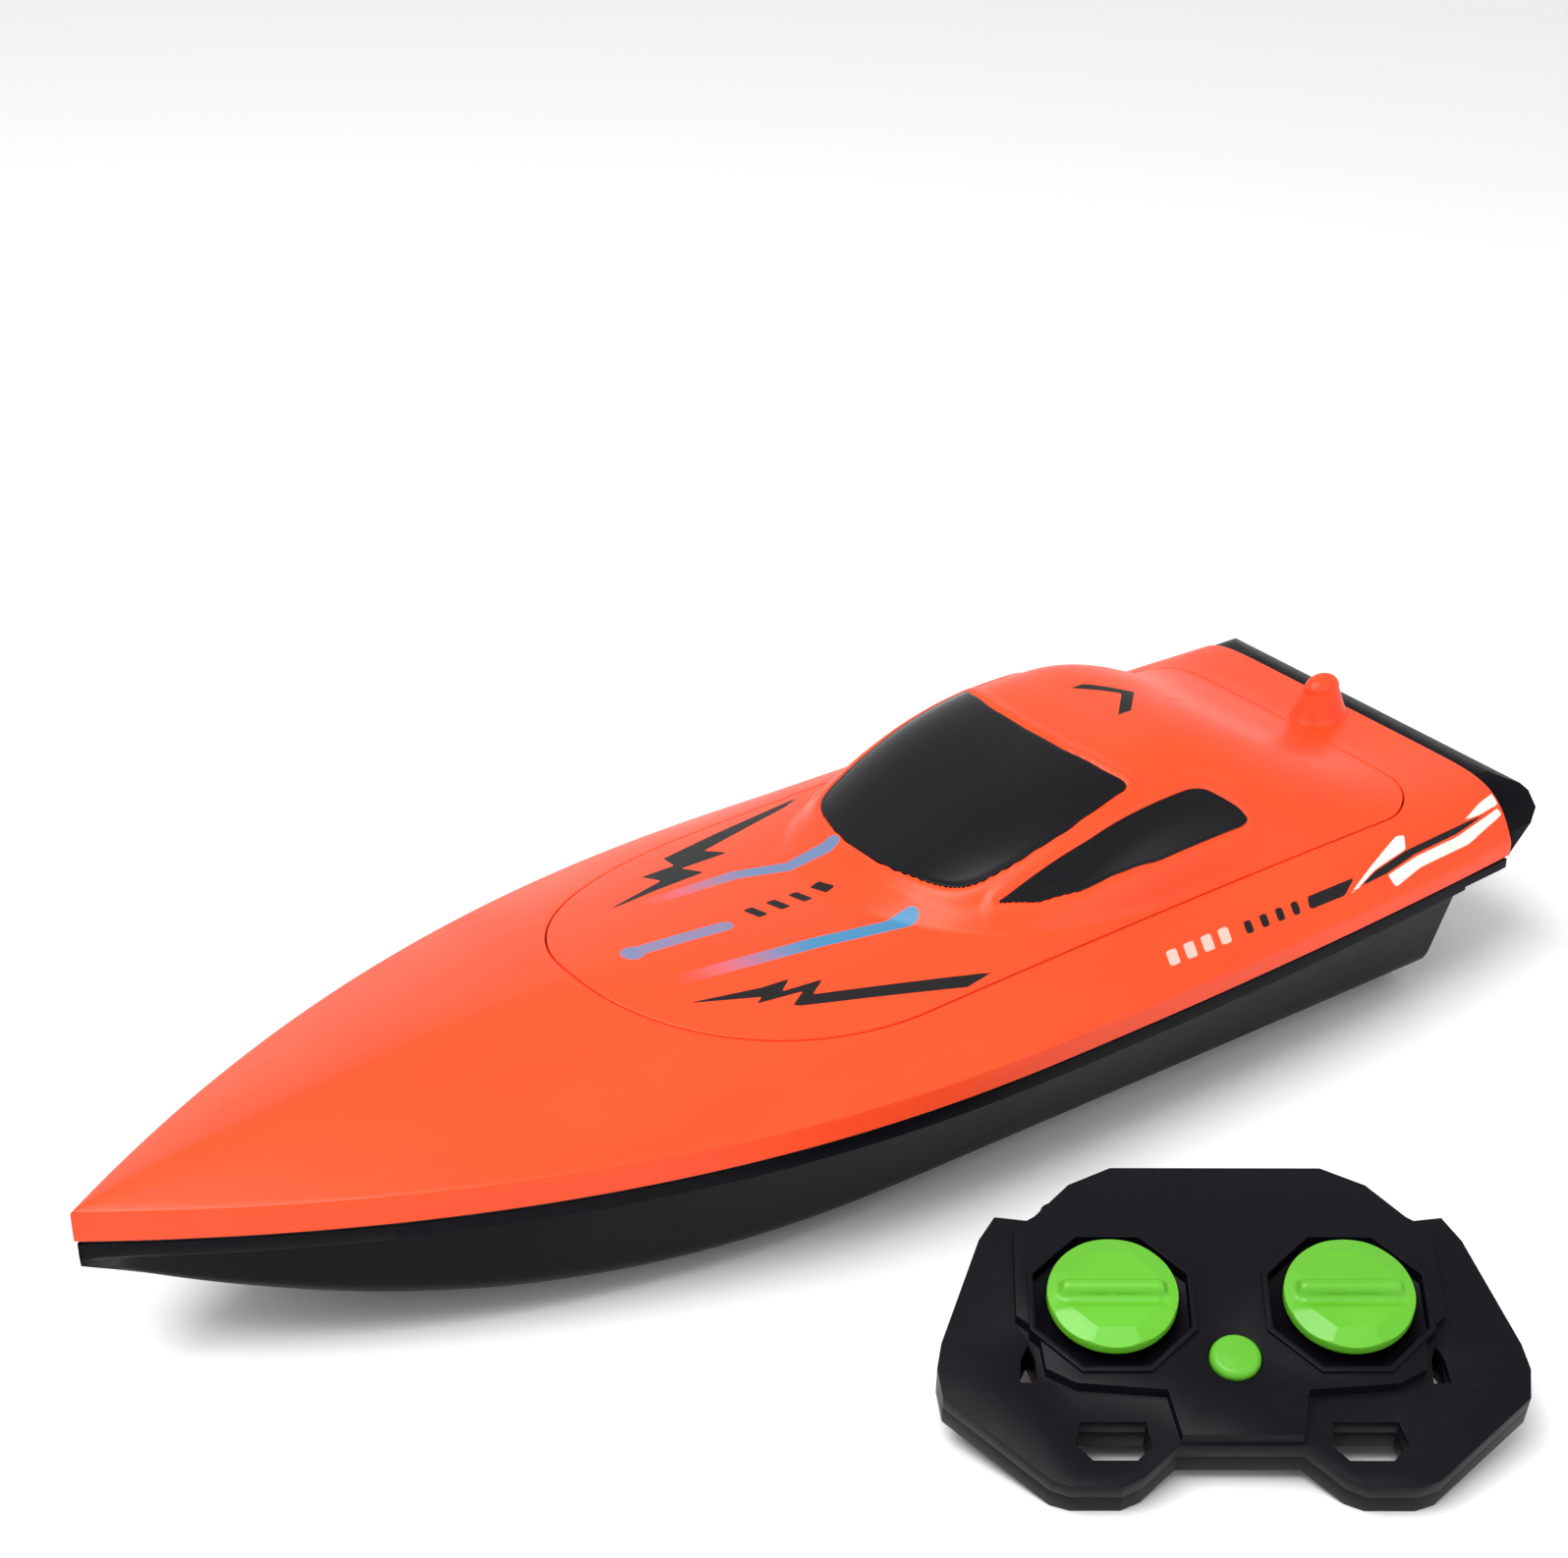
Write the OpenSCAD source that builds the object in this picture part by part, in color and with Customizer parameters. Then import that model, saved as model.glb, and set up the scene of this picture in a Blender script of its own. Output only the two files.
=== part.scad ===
// Twin-screw radio-controlled speedboat with its two-stick handset.
// +X is the bow, +Y is port, +Z is up. The origin is on the flat of the keel, amidships.

/* [Boat] */
// Length of the deck from stern edge to bow tip
boat_l = 360; // [330:1:430]
// Greatest width over the deck's rim
beam_w = 134; // [124:1:160]
// Height of the deck's lower edge above the keel
rim_z = 36; // [34:1:44]
// Wall of the deck and of the hatch cover
deck_wall = 1.8; // [1.4:0.1:2.4]
// Wall of the hull
hull_wall = 1.8; // [1.4:0.1:2.4]
// Height of the foredeck's crown above the rim
crown_h = 14.7; // [12:0.1:18]
// Height of the cabin above the deck
cabin_h = 25.5; // [18:0.5:30]
// Half width of the cabin
cabin_w = 48; // [44:0.5:48]
// How far the deck's stern overhangs the transom
overhang = 16; // [13:0.5:20]
// Half width of the flat on the keel
keel_pad = 9.5; // [8:0.5:12]
// Thickness of the gasket between hull and deck
gasket_t = 0.8; // [0.5:0.1:1.2]

/* [Hatch] */
// Half width of the hatch opening
hatch_w = 49; // [48.5:0.5:52]
// Running gap between the hatch cover and the deck around it
hatch_gap = 0.4; // [0.3:0.05:0.6]
// Width of the ledge that the hatch sits on
ledge_w = 4; // [3:0.5:5]
// Thickness of the hatch's rubber gasket
hatch_seal_t = 1.2; // [0.8:0.1:1.6]
// Thickness of the window panels
window_t = 0.7; // [0.5:0.1:1]

/* [Drive] */
// Distance of each propeller shaft from the centreline
shaft_y = 18; // [16:0.5:24]
// Height of the propeller shafts above the keel
shaft_z = 14.5; // [14:0.5:17]
// Diameter of the propeller shafts
shaft_d = 2; // [1.5:0.1:3]
// Running clearance of a shaft in its bore, on the radius
run_gap = 0.05; // [0.02:0.01:0.1]
// Outer diameter of the stern tubes
tube_d = 4; // [3.6:0.1:5]
// Diameter of the propellers
prop_d = 23; // [18:1:26]
// Diameter of the motor cans
motor_d = 20; // [18:0.5:20.5]
// Height of the motor cans across their flats
motor_flat = 15; // [13:0.5:16]
// Length of the motor cans
motor_l = 25; // [20:1:32]

/* [Battery] */
// Diameter of one cell of the boat's battery pack
cell_d = 14; // [13:0.5:16]
// Length of one cell of the boat's battery pack
cell_l = 50; // [44:1:52]

/* [Handset] */
// Width of the handset over its grips
pad_w = 121; // [112:1:140]
// Height of the handset's face from bottom edge to top edge
pad_h = 77.5; // [74:0.5:90]
// Height of the front shell at the centre
front_h = 7; // [6.5:0.5:9]
// Depth of the back shell at the grips
back_h = 5; // [4.5:0.5:7]
// Wall of the handset's shells
pad_wall = 1.6; // [1.4:0.1:2]
// Lean of the handset's face as it lies on its back
pad_lean = 18; // [15:1:20]
// Distance of each stick from the handset's centre
stick_x = 24.3; // [23.4:0.1:27]
// Diameter of the stick caps
cap_d = 27; // [24:0.5:29]
// Diameter of the stick's axle
axle_d = 3; // [2:0.1:3.4]
// Diameter of the power button
button_d = 10.6; // [9:0.1:13]
// Travel of the power button
button_travel = 1.2; // [0.8:0.1:1.4]
// Diameter of the handset's battery cells
pad_cell_d = 10.5; // [9:0.5:10.8]
// Length of the handset's battery cells
pad_cell_l = 44; // [40:0.5:44.5]
// Sliding gap of the battery door and the power button
slide_gap = 0.3; // [0.2:0.05:0.5]

/* [Screws] */
// Shank diameter of the deck screws
deck_screw_d = 2.6; // [2:0.1:3]
// Shank diameter of the handset screws
pad_screw_d = 2; // [1.6:0.1:2.4]

/* [Hidden] */

$fn = 48;
eps = 0.01;
ORANGE = [1, 0.37, 0.16];
BLACK = [0.07, 0.07, 0.09];
GREEN = [0.42, 0.8, 0.2];

half_l = boat_l / 2;
half_b = beam_w / 2;
stern_x = -half_l;
transom_x = stern_x + overhang;
stern_narrow = 7;      // how much the half beam falls from its widest place to the stern
widest = 0.42;         // place of the greatest beam, as a share of the length from the stern
rim_aft_h = 4;         // height of the deck's upright rim at the stern
rim_fore_h = 7.5;      // and at the bow
seat_z = rim_z - gasket_t;
lip_h = 4;             // height of the black lip under the deck's rim
lip_in = 0.6;          // how far the lip stands inside the rim
side_in = 3.4;         // how far the hull's side stands inside the rim

// ---------- curves of the boat ----------
function clamp(t, lo, hi) = min(max(t, lo), hi);
function smooth(t) = let (c = clamp(t, 0, 1)) c * c * (3 - 2 * c);
function lerp(a, b, t) = a + (b - a) * t;
function along(x) = clamp((x - stern_x) / boat_l, 0, 1);

// Half width of the deck's rim at x
function beam(x) = let (s = along(x))
    s > widest ? half_b * (1 - pow((s - widest) / (1 - widest), 2.15))
               : half_b - stern_narrow * pow((widest - s) / widest, 2);
function rim_h(x) = lerp(rim_aft_h, rim_fore_h, along(x));
function crown(x) = let (s = along(x))
    (crown_h - 1.3 + 1.3 * min(s / 0.6, 1)) * (1 - pow(clamp((s - 0.6) / 0.4, 0, 1), 2));
// Exponent of the deck's cross-section: nearly flat with square shoulders aft, peaked at the bow
function section_p(x) = 1.25 + 9.5 * pow(1 - along(x), 3.2);
cabin_front = -8;
cabin_rear = stern_x + 12;
cabin_fade = 72;
function cabin(x, y) =
    let (rise = clamp((cabin_front - x) / 80, 0, 1), wide = clamp((cabin_front - x) / 66, 0, 1))
    let (half = cabin_w * sqrt(1 - (1 - wide) * (1 - wide)))
    cabin_h * pow(sin(90 * rise), 1.2) * smooth((x - cabin_rear) / cabin_fade)
        * clamp(1 - pow(abs(y) / max(half, 0.001), 3.6), 0, 1);
// Height of the deck's outer surface above the keel, first without the cabin
function base_z(x, y) = let (t = min(abs(y) / max(beam(x), 0.001), 1))
    rim_z + rim_h(x) + crown(x) * (1 - pow(t, section_p(x)));
function deck_z(x, y) = base_z(x, y) + cabin(x, y);

// ---------- grids and shells ----------
// Triangles of an m by n grid of points whose first point has the given index
function grid_faces(m, n, first, flip) = [for (i = [0 : m - 2]) for (j = [0 : n - 2])
    let (a = first + i * n + j, b = a + 1, c = a + n + 1, d = a + n)
    each (flip ? [[a, b, c], [a, c, d]] : [[a, c, b], [a, d, c]])];
function flat(rows) = [for (row = rows) each row];

// Closed solid between two grids of the same size, upper and lower
module between(upper, lower) {
    m = len(upper);
    n = len(upper[0]);
    k = m * n;
    rim = concat([for (i = [0 : m - 1]) i * n], [for (j = [1 : n - 1]) (m - 1) * n + j],
        [for (i = [m - 2 : -1 : 0]) i * n + n - 1], [for (j = [n - 2 : -1 : 1]) j]);
    sides = [for (q = [0 : len(rim) - 1]) let (a = rim[q], b = rim[(q + 1) % len(rim)])
        each [[a, b, b + k], [a, b + k, a + k]]];
    polyhedron(concat(flat(upper), flat(lower)),
        concat(grid_faces(m, n, 0, true), grid_faces(m, n, k, false), sides));
}

// Closed ring: each row is one closed cross-section, and the last row joins the first
module ring(rows) {
    m = len(rows);
    n = len(rows[0]);
    polyhedron(flat(rows), [for (i = [0 : m - 1]) for (j = [0 : n - 1])
        let (a = i * n + j, b = i * n + (j + 1) % n, c = ((i + 1) % m) * n + (j + 1) % n,
            d = ((i + 1) % m) * n + j)
        each [[a, c, b], [a, d, c]]]);
}

// Closed solid swept through stations, each a closed outline of as many points, with flat ends
module loft(rows) {
    m = len(rows);
    n = len(rows[0]);
    polyhedron(flat(rows), concat(
        [for (i = [0 : m - 2]) for (j = [0 : n - 1])
            let (a = i * n + j, b = i * n + (j + 1) % n, c = (i + 1) * n + (j + 1) % n, d = (i + 1) * n + j)
            each [[a, c, b], [a, d, c]]],
        [[for (j = [0 : n - 1]) j]], [[for (j = [n - 1 : -1 : 0]) (m - 1) * n + j]]));
}

// ---------- outlines of the hatch and of the rim ----------
hatch_front = 58;                 // bow end of the hatch opening
hatch_mid = -5;                   // where the oval front passes into the straight sides
hatch_end = stern_x + 20;         // stern end of the hatch opening
hatch_corner = 14;                // radius of the opening's aft corners
steps_a = 14;
steps_b = 11;
steps_c = 5;
steps_d = 4;
// Port half of the hatch opening's edge, moved inward by e
function seam_half(e) = concat(
    [for (k = [0 : steps_a - 1]) let (a = 90 * k / steps_a)
        [hatch_mid + (hatch_front - hatch_mid - e) * cos(a), (hatch_w - e) * sin(a)]],
    [for (k = [0 : steps_b - 1]) [lerp(hatch_mid, hatch_end + hatch_corner, k / steps_b), hatch_w - e]],
    [for (k = [0 : steps_c - 1]) let (a = 90 + 90 * k / steps_c)
        [hatch_end + hatch_corner + (hatch_corner - e) * cos(a),
            hatch_w - hatch_corner + (hatch_corner - e) * sin(a)]],
    [for (k = [0 : steps_d]) [hatch_end + e, (hatch_w - hatch_corner) * (1 - k / steps_d)]]);
// Port half of the rim, point for point with seam_half, moved inward by e
function rim_point(x, e) = let (c = clamp(x, stern_x + e, half_l - 1.8 * e))
    [c, max(beam(c) - 1.2 * e, 0)];
function rim_half(e) = let (corner = rim_point(stern_x, e)[1], turn = 0.74) concat(
    [for (k = [0 : steps_a - 1]) rim_point(lerp(half_l, -20, k / steps_a), e)],
    [for (k = [0 : steps_b - 1]) rim_point(lerp(-20, stern_x, k / steps_b), e)],
    [for (k = [0 : steps_c - 1]) [stern_x + e, corner * lerp(1, turn, k / steps_c)]],
    [for (k = [0 : steps_d]) [stern_x + e, corner * turn * (1 - k / steps_d)]]);
// Whole closed outline from its port half
function whole(half) = concat(half,
    [for (k = [len(half) - 2 : -1 : 1]) [half[k][0], -half[k][1]]]);
function ring_rows(outlines) = [for (i = [0 : len(outlines[0]) - 1]) [for (o = outlines) o[i]]];
function at_height(outline, z) = [for (p = outline) [p[0], p[1], z]];
// The hatch's ledge and gasket follow the deck without the cabin, so the flange they make is plain
function under_deck(outline, drop) = [for (p = outline) [p[0], p[1], base_z(p[0], p[1]) - drop]];
function mix(a, b, t, drop) = [for (i = [0 : len(a) - 1])
    let (p = lerp(a[i], b[i], t)) [p[0], p[1], deck_z(p[0], p[1]) - drop]];
// The inner side of the deck lies under the outer side's own points
function mix_inner(a, b, b_in, t, drop) = [for (i = [0 : len(a) - 1])
    let (p = lerp(a[i], b[i], t), q = lerp(a[i], b_in[i], t)) [q[0], q[1], deck_z(p[0], p[1]) - drop]];

// ---------- hull ----------
rise_x = 85;       // where the keel begins to rise to the bow
stem_h = 30;       // height of the foot of the stem above the keel
function keel_z(x) = stem_h * pow(clamp((x - rise_x) / (half_l - rise_x), 0, 1), 1.8);
function chine_y(x) = lerp(50, 0.2, pow(clamp(x / 172, 0, 1), 2.3)) * half_b / 67;
function chine_z(x) = 5 + 24 * pow(clamp(x / half_l, 0, 1), 2.6);
function bezier(a, b, c, t) = lerp(lerp(a, b, t), lerp(b, c, t), t);
// Half section from the keel's centre up to the lip's top; e moves it inward
function hull_half(x, e) = let (
        b = beam(x), top = min(side_in, 0.45 * b) + 1.15 * e,
        side_y = max(b - top, 0.15), chine_in = min(chine_y(x) - 1.1 * e, side_y - 0.05),
        cy = max(chine_in, 0.1), kz = keel_z(x) + e, cz = max(chine_z(x) + e, kz + 0.4),
        pad = min(keel_pad, cy * 0.4) * (1 - 0.6 * clamp((x - rise_x) / 60, 0, 1)),
        r = min(5, cy * 0.3), chine = [cy, cz], foot = lerp(chine, [pad, kz], r / (cy - pad + r)),
        head = lerp(chine, [side_y, seat_z - lip_h - 0.4], 0.2))
    concat([[0, kz], [pad, kz], lerp([pad, kz], foot, 0.5)],
        [for (t = [0, 0.34, 0.67, 1]) bezier(foot, chine, head, t)],
        [lerp(head, [side_y, seat_z - lip_h - 0.4], 0.5)]);
function close_half(x, half) = concat([for (p = half) [x, p[0], p[1]]],
    [for (k = [len(half) - 1 : -1 : 1]) [x, -half[k][0], half[k][1]]]);
function outer_section(x) = let (b = beam(x), lip = b - min(lip_in, 0.2 * b),
        side_y = max(b - min(side_in, 0.45 * b), 0.15))
    close_half(x, concat(hull_half(x, 0),
        [[side_y, seat_z - lip_h - 0.4], [lip, seat_z - lip_h + 0.4], [lip, seat_z]]));
function inner_section(x, shift) = let (half = hull_half(x, hull_wall), b = beam(x),
        side_y = max(b - min(side_in, 0.45 * b) - 1.15 * hull_wall, 0.15))
    close_half(x + shift, concat(half, [[side_y, seat_z - lip_h - 0.4], [side_y, seat_z + 5]]));
hull_steps = 26;
bow_in = 0.8;      // the hull's bow stands this far behind the deck's
function hull_stations(from, to) = [for (k = [0 : hull_steps])
    lerp(from, to, sin(90 * pow(k / hull_steps, 0.9)))];

tower_x = half_l - 44;     // screw tower at the bow
tower_r = deck_screw_d / 2 + 2.7;
shelf_screw_y = 40;
shelf_screw_x = stern_x + 8;
screw_head_d = 2 * deck_screw_d;
bow_seat_z = seat_z - 11;  // underside of the bow screw's seat inside its tower
shelf_t = 2.6;
module hull() color(BLACK) difference() {
    union() {
        difference() {
            loft([for (x = hull_stations(transom_x, half_l - bow_in)) outer_section(x)]);
            loft([for (x = hull_stations(transom_x + hull_wall, half_l - 9)) inner_section(x, 0)]);
        }
        translate([0, 0, seat_z - shelf_t]) linear_extrude(shelf_t) polygon([
            [transom_x + hull_wall - 0.2, beam(transom_x) - lip_in - 0.2],
            [stern_x + lip_in, beam(stern_x) - lip_in],
            [stern_x + lip_in, -beam(stern_x) + lip_in],
            [transom_x + hull_wall - 0.2, -beam(transom_x) + lip_in + 0.2]]);
        translate([tower_x, 0, keel_z(tower_x) + 1.2])
            cylinder(h = seat_z - keel_z(tower_x) - 1.2, r = tower_r);
    }
    translate([tower_x, 0, 0]) {
        cylinder(h = seat_z + 1, d = deck_screw_d);
        translate([0, 0, -1]) cylinder(h = bow_seat_z + 1, d = screw_head_d + 0.4);
    }
    for (s = [-1, 1]) {
        translate([shelf_screw_x, s * shelf_screw_y, seat_z - shelf_t - 1])
            cylinder(h = shelf_t + 2, d = deck_screw_d);
        translate([transom_x - 1, s * shaft_y, shaft_z]) rotate([0, 90, 0])
            cylinder(h = hull_wall + 2, d = tube_d);
        translate([contact_x, s * contact_y, -1]) cylinder(h = hull_wall + 2, d = contact_d);
    }
}

// ---------- deck ----------
ledge_t = 1.6;
ledge_drop = deck_wall + hatch_seal_t;
web = 1.6;
row_steps = [0, 0.2, 0.42, 0.62, 0.78, 0.9, 0.97, 1];
module deck_shell() {
    seam = whole(seam_half(0));
    web_line = whole(seam_half(-web));
    ledge = whole(seam_half(ledge_w));
    rim = whole(rim_half(0));
    rim_in = whole(rim_half(deck_wall));
    last = len(row_steps) - 1;
    ring(ring_rows(concat(
        [for (t = row_steps) mix(seam, rim, t, 0)],
        [at_height(rim, rim_z), at_height(rim_in, rim_z)],
        [for (k = [last : -1 : 1]) mix_inner(web_line, rim, rim_in, row_steps[k], deck_wall)],
        [under_deck(web_line, deck_wall), under_deck(web_line, ledge_drop + ledge_t),
            under_deck(ledge, ledge_drop + ledge_t), under_deck(ledge, ledge_drop),
            under_deck(seam, ledge_drop)])));
}
module deck() color(ORANGE) difference() {
    union() {
        deck_shell();
        translate([tower_x, 0, seat_z])
            cylinder(h = deck_z(tower_x, 0) - seat_z - deck_wall * 0.6, r = tower_r);
        for (s = [-1, 1]) translate([shelf_screw_x, s * shelf_screw_y, seat_z])
            cylinder(h = deck_z(shelf_screw_x, shelf_screw_y) - seat_z - deck_wall * 0.6, r = tower_r);
    }
    translate([tower_x, 0, seat_z - 1]) cylinder(h = 9, d = deck_screw_d);
    for (s = [-1, 1]) translate([shelf_screw_x, s * shelf_screw_y, seat_z - 1])
        cylinder(h = 13, d = deck_screw_d);
}

gasket_out = 0.8;
gasket_in = 4.4;
module hull_gasket() color([0.2, 0.2, 0.2]) {
    outer = whole(rim_half(gasket_out));
    inner = whole(rim_half(gasket_in));
    ring(ring_rows([at_height(outer, rim_z), at_height(outer, seat_z),
        at_height(inner, seat_z), at_height(inner, rim_z)]));
}

screw_bite = 7;
module deck_screw(head_z, tip_z) {
    translate([0, 0, head_z - 2]) cylinder(h = 2, d = screw_head_d);
    translate([0, 0, head_z]) cylinder(h = tip_z - head_z, d = deck_screw_d);
}
module deck_screws() color([0.75, 0.75, 0.78]) {
    translate([tower_x, 0, 0]) deck_screw(bow_seat_z, seat_z + screw_bite);
    for (s = [-1, 1]) translate([shelf_screw_x, s * shelf_screw_y, 0])
        deck_screw(seat_z - shelf_t, seat_z + screw_bite);
}

bumper_l = 11;
module stern_bumper() color(BLACK) {
    top = deck_z(stern_x, 0) - 0.4;
    edge = beam(stern_x);
    intersection() {
        translate([stern_x - bumper_l - 1, 0, 0]) rotate([90, 0, 90]) linear_extrude(bumper_l + 1)
            polygon(concat([[-edge + 0.8, rim_z], [edge - 0.8, rim_z]],
                [for (t = [0.98, 0.95, 0.9, 0.84, 0.76, 0.6, -0.6, -0.76, -0.84, -0.9, -0.95, -0.98])
                    [edge * t, deck_z(stern_x, edge * t) - 0.4]]));
        translate([0, beam_w / 2, 0]) rotate([90, 0, 0]) linear_extrude(beam_w) polygon([
            [stern_x, rim_z - 2], [stern_x, top + 1], [stern_x - 2, top + 0.3], [stern_x - bumper_l + 1, top - 3],
            [stern_x - bumper_l, top - 4.5], [stern_x - bumper_l, top - 8], [stern_x - 1, rim_z]]);
    }
}

fin_x = stern_x + 10;
fin_h = 11.5;
fin_l = 17;        // length of the fin's foot
fin_t = 12;        // its thickness there
fin_rake = 0.5;      // how far its tip lies aft of the foot's middle
fin_taper = 0.62;  // its size where the rounded tip begins, as a share of the foot
fin_round = 0.66;  // height of that place, as a share of the whole
fin_sides = 24;
function fin_size(t) = t < fin_round ? lerp(1, fin_taper, t / fin_round)
    : fin_taper * sqrt(1 - pow((t - fin_round) / (1 - fin_round), 2));
// The fin narrows evenly from its foot to a rounded tip
module tail_fin() color(ORANGE) translate([fin_x, 0, deck_z(fin_x, 0) - 0.2])
    loft([for (t = [0, 0.2, 0.4, 0.54, 0.66, 0.77, 0.86, 0.93, 0.98])
        let (w = fin_size(t), aft = fin_rake * smooth(t))
        [for (k = [0 : fin_sides - 1]) let (a = 360 * k / fin_sides)
            [fin_l / 2 * w * cos(a) - aft, fin_t / 2 * w * sin(a), fin_h * t]]]);

// ---------- boat's fittings ----------
floor_z = hull_wall;                 // the flat of the keel inside the hull
tray_x = -22;                        // middle of the battery tray
tray_z = 9;                          // underside of the tray's plate
tray_t = 2;
cells = 4;
cell_gap = 0.4;                      // between the pack's cells
cell_pitch = cell_d + cell_gap;
pack_w = cell_pitch * cells - cell_gap;
tray_gap = 1;
module battery_tray() color([0.15, 0.15, 0.17]) {
    l = cell_l + 2 * tray_gap + 2 * tray_t;
    w = pack_w + 2 * tray_gap + 2 * tray_t;
    translate([tray_x, 0, 0]) {
        translate([-l / 2, -keel_pad + 1.5, floor_z]) cube([l, 2 * keel_pad - 3, tray_z - floor_z + 0.5]);
        difference() {
            translate([-l / 2, -w / 2, tray_z]) cube([l, w, tray_t + 7]);
            translate([-l / 2 + tray_t, -w / 2 + tray_t, tray_z + tray_t])
                cube([l - 2 * tray_t, w - 2 * tray_t, 20]);
        }
    }
}
module battery_pack() color([0.2, 0.45, 0.7]) translate([tray_x, 0, tray_z + tray_t + cell_d / 2]) {
    for (k = [0 : cells - 1]) translate([-cell_l / 2, (k - (cells - 1) / 2) * cell_pitch, 0])
        rotate([0, 90, 0])
        cylinder(h = cell_l, d = cell_d);
    for (s = [-1, 1]) translate([s * (cell_l / 2 - 0.5) - 0.5, -pack_w / 2 + 3, -3]) cube([1, pack_w - 6, 6]);
    translate([-cell_l / 2 + 4, -pack_w / 2 + cell_d / 2, -1.5]) cube([cell_l - 8, pack_w - cell_d, 3]);
}
strap_w = 12;
module battery_strap() color([0.1, 0.1, 0.1]) {
    top = tray_z + tray_t + cell_d;
    w = pack_w + 2 * tray_gap + 2 * tray_t;
    translate([tray_x - strap_w / 2, 0, 0]) {
        translate([0, -w / 2 - 1, top]) cube([strap_w, w + 2, 1]);
        for (s = [-1, 1]) translate([0, s * (w / 2 + 0.5) - 0.5, tray_z + 1]) cube([strap_w, 1, top - tray_z]);
    }
}
board_x = 40;
board_z = 8;
module circuit_board() color([0.1, 0.4, 0.2]) translate([board_x, 0, 0]) {
    translate([-18, -5, floor_z]) cube([36, 10, board_z - floor_z]);
    translate([-22, -16, board_z]) cube([44, 32, 1.6]);
    for (p = [[-12, -6, 10, 12, 2.4], [6, 3, 9, 8, 2], [8, -12, 6, 6, 5], [-16, 9, 8, 4, 3]])
        translate([p[0], p[1], board_z + 1.6 - eps]) cube([p[2], p[3], p[4] + eps]);
}
aerial_d = 1.4;
module receiver_aerial() color([0.12, 0.12, 0.12]) translate([board_x + 18, -9, board_z + 1.6])
    cylinder(h = 14, d = aerial_d);
switch_x = 76;
module power_switch() color([0.25, 0.25, 0.27]) translate([switch_x, 0, floor_z]) difference() {
    translate([-9, -6, 0]) cube([18, 12, 9]);
    translate([-4.5, -1.7, 5]) cube([9, 3.4, 10]);
}
slider_travel = 3;
module switch_slider() color([0.9, 0.9, 0.9]) 
    translate([switch_x - slider_travel / 2 - 1.5, -1.4, floor_z + 5.3]) cube([3, 2.8, 6.5]);
contact_d = 3;
contact_x = 14;
contact_y = 5;
module water_contacts() color([0.85, 0.75, 0.4]) for (s = [-1, 1])
    translate([contact_x, s * contact_y, 0.2]) {
        cylinder(h = hull_wall + 3, d = contact_d);
        translate([0, 0, hull_wall - 0.2]) cylinder(h = 1.2, d = contact_d + 2.5);
    }

motor_front = transom_x + 46;        // drive end of the motor cans
bracket_t = 2;
motor_grip = 6;                      // length of can that the bracket holds
module motor_can() {
    intersection() {
        rotate([0, 90, 0]) cylinder(h = motor_l, d = motor_d);
        translate([-1, -motor_d, -motor_flat / 2]) cube([motor_l + 2, 2 * motor_d, motor_flat]);
    }
    translate([-2, 0, 0]) rotate([0, 90, 0]) cylinder(h = 2 + eps, d = 6);
    translate([motor_l - eps, 0, 0]) rotate([0, 90, 0]) cylinder(h = 2, d = 6);
    for (s = [-1, 1]) translate([motor_l - eps, s * 5 - 0.3, -1.5]) cube([4, 0.6, 3]);
}
rotor_bite = 12;                     // length of shaft inside the motor
module motor(side) color([0.72, 0.72, 0.75]) translate([motor_front, side * shaft_y, shaft_z]) difference() {
    motor_can();
    translate([-3, 0, 0]) rotate([0, 90, 0]) cylinder(h = rotor_bite + 3.5, d = shaft_d + 2 * run_gap);
}
module motor_left() motor(1);
module motor_right() motor(-1);
bracket_l = 10;
bracket_top = shaft_z - 1;
module motor_bracket() color([0.15, 0.15, 0.17]) difference() {
    union() {
        translate([motor_front + 6, -keel_pad + 1.5, floor_z])
            cube([bracket_l, 2 * keel_pad - 3, shaft_z - motor_flat / 2 - floor_z]);
        translate([motor_front + 6, -shaft_y - motor_d / 2 - 2, shaft_z - motor_flat / 2 - bracket_t])
            cube([bracket_l, 2 * shaft_y + motor_d + 4, bracket_t + 9]);
    }
    for (s = [-1, 1]) translate([motor_front, s * shaft_y, shaft_z]) intersection() {
        rotate([0, 90, 0]) cylinder(h = 30, d = motor_d);
        translate([-1, -motor_d, -motor_flat / 2]) cube([motor_l + 2, 2 * motor_d, motor_flat]);
    }
}

tube_in = 30;                        // length of stern tube inside the hull
tube_out = 2;                        // and outside the transom
module stern_tube(side) color([0.85, 0.8, 0.6]) translate([transom_x - tube_out, side * shaft_y, shaft_z])
    rotate([0, 90, 0]) difference() {
        cylinder(h = tube_out + tube_in, d = tube_d);
        translate([0, 0, -1]) cylinder(h = tube_out + tube_in + 2, d = shaft_d + 2 * run_gap);
    }
module stern_tube_left() stern_tube(1);
module stern_tube_right() stern_tube(-1);

hub_l = 8;
hub_d = 5.5;
hub_gap = 0.5;
shaft_end = transom_x - tube_out - hub_gap - hub_l - 0.5;
module shaft(side) color([0.8, 0.8, 0.82]) translate([shaft_end, side * shaft_y, shaft_z]) rotate([0, 90, 0])
    cylinder(h = motor_front + rotor_bite - 1 - shaft_end, d = shaft_d);
module shaft_left() shaft(1);
module shaft_right() shaft(-1);
coupler_d = 6;
coupler_l = 9;
module coupler(side) color([0.7, 0.55, 0.25])
    translate([motor_front - 4 - coupler_l, side * shaft_y, shaft_z]) rotate([0, 90, 0]) difference() {
        cylinder(h = coupler_l, d = coupler_d);
        translate([0, 0, -1]) cylinder(h = coupler_l + 2, d = shaft_d);
    }
module coupler_left() coupler(1);
module coupler_right() coupler(-1);

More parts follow.
